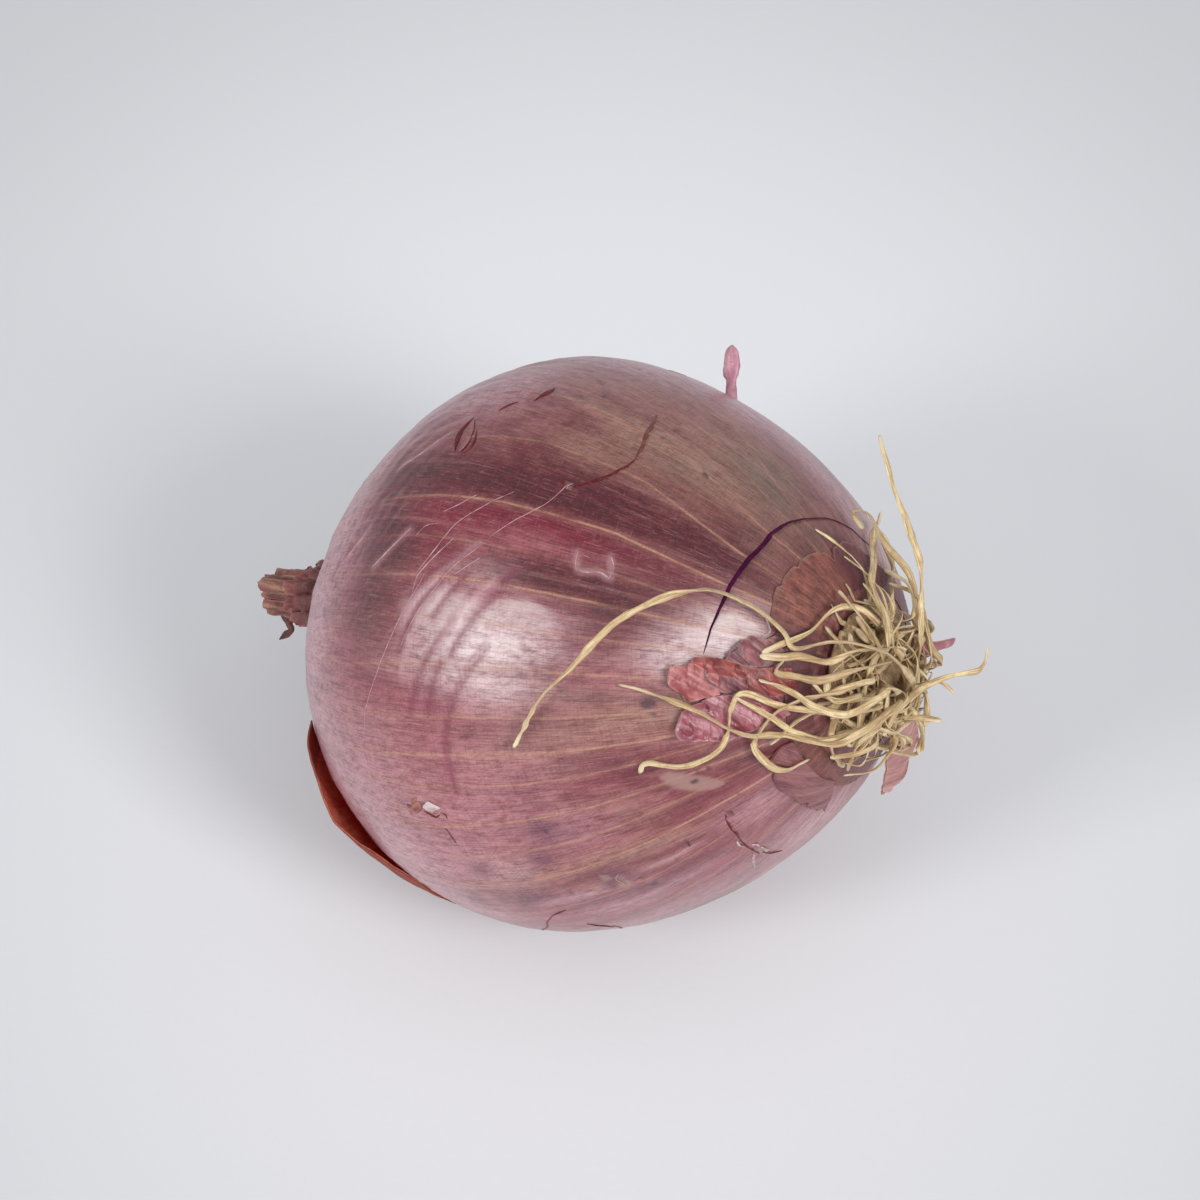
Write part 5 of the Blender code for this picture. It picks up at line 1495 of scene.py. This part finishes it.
def add_root(bunch, route, rng, half_width, half_thick, sides=12):
    """One dried strap along its route, with its own wobble, twist and darkness."""
    line = root_line(route)
    count = len(line)
    run = travelled(line)
    path = np.stack([run, 0 * run, 0 * run], -1)
    seed = rng.uniform(0, 50)
    wobble = np.stack([cloud(path, 4.5, seed + k) for k in range(3)], -1)
    kinks = np.stack([cloud(path, 1.1, seed + k) for k in range(3, 6)], -1)
    line = line + (wobble * 0.26 + kinks * 0.05) * np.minimum(run / 3, 1)[:, None]
    share = run / run[-1]
    start = rng.uniform(0, 6.3)
    spin = start + run * rng.choice((-1, 1)) * rng.uniform(0.05, 0.16)
    spin = spin + 1.2 * cloud(path, 5.0, seed + 4)
    ahead = unit(np.gradient(line, axis=0))
    side = unit(np.cross(ahead, (0.3, 0.5, 0.8)))
    over = np.cross(ahead, side)
    facing = side * np.cos(spin)[:, None] + over * np.sin(spin)[:, None]
    uneven = 1 + 0.22 * cloud(path, 1.6, seed + 5)
    taper = (1 - 0.12 * share ** 2) * np.clip((1 - share) * count * 0.5 + 0.45, 0, 1)
    width = half_width * taper * uneven
    points, faces = swept(line, facing, width, half_thick * taper, sides, ridges=0.17)
    around = np.tile(np.arange(sides) / sides * 2 * math.pi, count)
    length = np.repeat(run, sides)
    grain = np.stack([np.cos(around) * half_width, length, np.sin(around) * half_width + seed], -1)
    grain = np.concatenate([grain, grain[:1], grain[-1:]])
    tip = np.concatenate([np.repeat(np.clip((share - 0.9) * 10, 0, 1), sides), [0, 1]])
    bunch.add(lay_down(points), faces, grain=grain, strand=rng.uniform(0, 1) ** 2, tip=tip)


def roots():
    rng = random.Random(17)
    bunch = Bunch()
    for routes, scale in ((LONG_ROOTS.values(), LONG_SCALE), (SHORT_ROOTS.values(), SHORT_SCALE),
                          (THIN_ROOTS.values(), THIN_SCALE), (filler_routes(), FILLER_SCALE)):
        for route in routes:
            size = scale * rng.uniform(0.85, 1.12)
            add_root(bunch, route, rng, HALF_WIDTH * size, HALF_THICK * size)
    for route in strand_routes():
        size = rng.choice((0.35, 0.5, 0.7, 0.9))
        add_root(bunch, route, rng, HALF_WIDTH * size, HALF_THICK * size, sides=8)
    bunch.finish("roots", STRAW, replaces="root_tuft", slot="root_straw")


roots()

# %% [markdown]
# The plate under the roots is crumbly and straw-brown, matted with the stumps of old
# roots. A sculpted lump would show little more of it, because roots cover most of it.
# So a low dome is turned from an outline and roughened with two sizes of noise, and it
# sits exactly on the bulb's root face.

# %% Basal plate
PLATE_RADIUS, PLATE_HEIGHT = 9.4, 3.0
# outline from rim to top, as shares of the height and of the radius
PLATE_RISE = (0.03, 0.2, 0.5, 0.8, 0.95, 1.0, 1.0)
PLATE_REACH = (0.93, 1.0, 0.93, 0.72, 0.45, 0.2, 0.02)


def basal_plate():
    rows, columns = 26, 120
    share = np.linspace(0, 1, rows)[:, None] * np.ones(columns)
    turn = np.ones(rows)[:, None] * np.arange(columns) / columns * 2 * math.pi
    spots = np.linspace(0, 1, len(PLATE_RISE))
    out = np.interp(share, spots, PLATE_RISE) * PLATE_HEIGHT
    radius = np.interp(share, spots, PLATE_REACH) * PLATE_RADIUS
    flat = np.stack([out, -radius * np.sin(turn), radius * np.cos(turn)], -1)
    rough = 0.45 * cloud(flat, 1.3, 61) + 0.25 * cloud(flat, 0.5, 62)
    out = out + rough * np.clip(share * 4, 0, 1) + 0.3
    radius = radius * (1 + 0.03 * cloud(flat, 1.5, 63) * (share < 0.6))
    base = centre_line(np.array(ROOT_FACE))
    dome = base + np.stack([out, -radius * np.sin(turn), radius * np.cos(turn)], -1)
    points = np.concatenate([dome.reshape(-1, 3), [dome[0].mean(0)], [dome[-1].mean(0)]])
    grain = points[:, [1, 2, 0]]
    finish = straw("plate_crust", (0.19, 0.095, 0.045), (0.42, 0.27, 0.13), (0.68, 0.50, 0.28))
    fields = {"grain": grain, "strand": np.full(len(points), 0.5), "tip": np.zeros(len(points))}
    add_piece("basal_plate", lay_down(points), capped_faces(rows, columns), finish, fields,
              replaces="root_tuft", slot="root_straw")


basal_plate()

# %% [markdown]
# The neck is what is left of the leaves, drawn together and dried. Nine outer leaves and
# four shorter ones inside them twist, fold and end in torn tips. Shorter crumpled ones
# make a cuff round the foot, and one torn shred hangs down from the end. One lumpy tube
# would be simpler, but real leaves overlap, and their edges and gaps can be seen.

# %% Neck
NECK_LENGTH, NECK_FLARE, NECK_WAIST, NECK_TIP = 21.0, 9.6, 3.6, 3.7
NECK_TWIST, NECK_FLATNESS = 0.5, 0.9
LEAVES, INNER_LEAVES, CUFFS = 9, 4, 8
# middle line of the hanging shred, right and up of the neck's end, and its widths
NECK_TAIL = [(0.4, -1.0), (0.0, -2.6), (0.0, -3.9), (0.1, -4.8), (0.4, -5.5), (-0.6, -6.3), (-1.4, -6.9)]
TAIL_WIDTHS = (4.2, 3.8, 2.6, 1.2, 0.9, 1.1, 0.2)
TAIL_SIDES = 12
LEAF_THICK = 0.3


def neck_radius(t):
    return NECK_WAIST + (NECK_FLARE - NECK_WAIST) * (1 - t) ** 6 + (NECK_TIP - NECK_WAIST) * t ** 3


def neck_point(t, angle, radius):
    """Place in the neck: t runs from its foot to its tip."""
    base = centre_line(np.array(-NECK_FACE))
    rise = 3.0 * np.minimum(1, t * 3) - 0.4 * t * t
    return base + np.stack([-(0.3 + NECK_LENGTH * t), np.minimum(1, t * 3) - radius * np.sin(angle),
                            radius * NECK_FLATNESS * np.cos(angle) + rise], -1)


def add_tail(bunch):
    """A torn shred that hangs from the neck and ends in a hook."""
    right, up, back = (np.array(axis) for axis in camera_axes())
    top = lay_down(neck_point(np.array(0.80), np.array(0.0), np.array(0.0)))
    line = np.array([top + right * x + up * y + back * 1.2 for x, y in NECK_TAIL])
    line = smooth_line(line, 0.25)
    half = np.interp(np.linspace(0, 1, len(line)), np.linspace(0, 1, len(TAIL_WIDTHS)), TAIL_WIDTHS) / 2
    half = half * (1 + 0.2 * cloud(line, 0.6, 91))
    facing = np.broadcast_to(back, line.shape)
    points, faces = swept(line, facing, half, np.full(len(line), 0.14), TAIL_SIDES)
    run = np.repeat(travelled(line), TAIL_SIDES)
    grain = np.stack([np.tile(np.arange(TAIL_SIDES) * 0.5, len(line)), run, 0 * run + 5], -1)
    grain = np.concatenate([grain, grain[:1], grain[-1:]])
    bunch.add(points, faces, grain=grain, under=0.0, rim=0.0, shade=0.8)


def add_leaf(bunch, rng, k):
    """Leaf number k: first the outer ones, then the inner ones, then the cuff."""
    rows, columns = 46, 16
    cuff = k >= LEAVES + INNER_LEAVES
    inner = k >= LEAVES and not cuff
    middle = 2 * math.pi * (k + rng.uniform(-0.2, 0.2)) / (INNER_LEAVES if inner else LEAVES)
    half = rng.uniform(0.45, 0.62) if not inner else 1.0
    length = rng.uniform(0.90, 0.955) if not inner else rng.uniform(0.84, 0.92)
    length = rng.uniform(0.58, 0.68) if cuff else length
    lean = rng.uniform(-0.25, 0.35)
    seed = 70 + k * 3
    t = np.linspace(0.0, length, rows)[:, None] * np.ones(columns)
    across = np.ones(rows)[:, None] * np.linspace(-1, 1, columns)
    tip = np.clip(t / length, 0, 1)
    narrow = 1 - 0.35 * tip ** 3
    angle = middle + across * half * narrow + NECK_TWIST * t + lean * tip ** 4
    radius = neck_radius(t) * (0.62 if inner else 1.0) * (1 - 0.10 * (k % 2))
    chart = np.stack([across * half * 4, t * NECK_LENGTH, 0 * t + seed], -1)
    fold = 0.32 * np.cos(across * 4.5 + k) + 0.25 * cloud(chart, 1.6, seed)
    radius = radius + fold * np.minimum(1, t * 6) - 0.25 * across ** 2
    radius = radius + (0.9 + 0.9 * cloud(chart, 1.1, seed + 4)) * np.minimum(1, t * 4) * cuff
    radius = radius + (tip ** 5) * rng.uniform(-0.5, 0.4)
    torn = (0.9 * cloud(chart * (1, 0, 1), 0.9, seed + 1) + 0.5 * cloud(chart * (1, 0, 1), 0.35, seed + 2))
    t = t + torn * 0.022 * tip ** 7
    sheet = neck_point(t, angle, np.maximum(radius, 0.4))
    points, faces, side = closed_sheet(lay_down(sheet), np.full(t.shape, LEAF_THICK))
    edge = np.minimum(1 - np.abs(across), (1 - tip) * 2)
    bunch.add(points, faces, grain=twice(chart), under=np.maximum(side, 0.7 * cuff),
              rim=twice(np.exp(-(edge / 0.08) ** 2)),
              shade=twice(np.clip((0.62 - t) * 8, 0, 1)))


def neck():
    rng = random.Random(23)
    bunch = Bunch()
    for k in range(LEAVES + INNER_LEAVES + CUFFS):
        add_leaf(bunch, rng, k)
    add_tail(bunch)
    finish = dry_skin("dry_neck", (0.10, 0.014, 0.014), (0.26, 0.075, 0.05), (0.52, 0.34, 0.20),
                      (0.25, 0.040, 0.042), (0.46, 0.17, 0.15), 0.4, fibre=1.3)
    bunch.finish("neck_leaves", finish, replaces="neck", slot="dry_neck")


neck()

# %% [markdown]
# A scrap of skin has dried into a little pink peg that leans a bit, with a narrow foot
# and a swollen tip. It is made of ovals of changing size, stacked along a line, because
# a short list of heights and widths gives its outline at once. A rolled sheet would
# look hollow, and the real one doesn't.

# %% Skin curl
CURL_ALONG, CURL_TURN = 9.6, -57.0
# height, half width and half thickness of each oval
CURL_SECTIONS = [(-0.6, 0.95, 0.7), (0.8, 0.8, 0.55), (2.2, 0.80, 0.55), (3.0, 1.15, 0.7),
                 (4.2, 1.28, 0.75), (5.6, 1.12, 0.7), (6.5, 0.75, 0.5), (7.0, 0.25, 0.2)]
CURL_LEAN = (-0.19, -0.125, 0.08)


def skin_curl():
    rows, columns = 36, 28
    sections = curve_rows(np.array(CURL_SECTIONS), rows)
    foot = on_bulb(CURL_ALONG, CURL_TURN)
    upright = unit(unit(foot - centre_line(np.array(CURL_ALONG))) + CURL_LEAN)
    thick = unit(np.cross(upright, (1, 0, 0)))
    wide = np.cross(thick, upright)
    around = np.arange(columns) / columns * 2 * math.pi
    height, half_width, half_thick = sections.T
    line = foot + upright * (height[:, None] + 0.1)
    chart = np.stack([np.cos(around)[None, :] + 0 * height[:, None], height[:, None] + 0 * around[None, :],
                      np.sin(around)[None, :] + 0 * height[:, None]], -1)
    swell = 1 + 0.14 * cloud(chart * (1, 0.6, 1), 0.7, 81) + 0.06 * cloud(chart, 0.3, 82)
    rings = (line[:, None] + wide * (np.cos(around)[None, :] * half_width[:, None] * swell)[..., None]
             + thick * (np.sin(around)[None, :] * half_thick[:, None] * swell)[..., None])
    foot_and_tip = [rings[0].mean(0), rings[-1].mean(0) + upright * 0.15]
    points = np.concatenate([rings.reshape(-1, 3), foot_and_tip])
    grain = np.concatenate([chart.reshape(-1, 3), np.zeros((2, 3))]) * (1.2, 1, 1.2)
    zero = np.zeros(len(points))
    finish = dry_skin("curl_pink", (0.42, 0.16, 0.22), (0.60, 0.29, 0.36), (0.72, 0.46, 0.50),
                      (0.4, 0.2, 0.2), (0.5, 0.3, 0.3), 0.4)
    fields = {"grain": grain, "under": zero, "rim": zero, "shade": zero}
    add_piece("skin_curl_peg", lay_down(points), capped_faces(rows, columns), finish, fields,
              replaces="skin_curl", slot="pink_skin")


skin_curl()
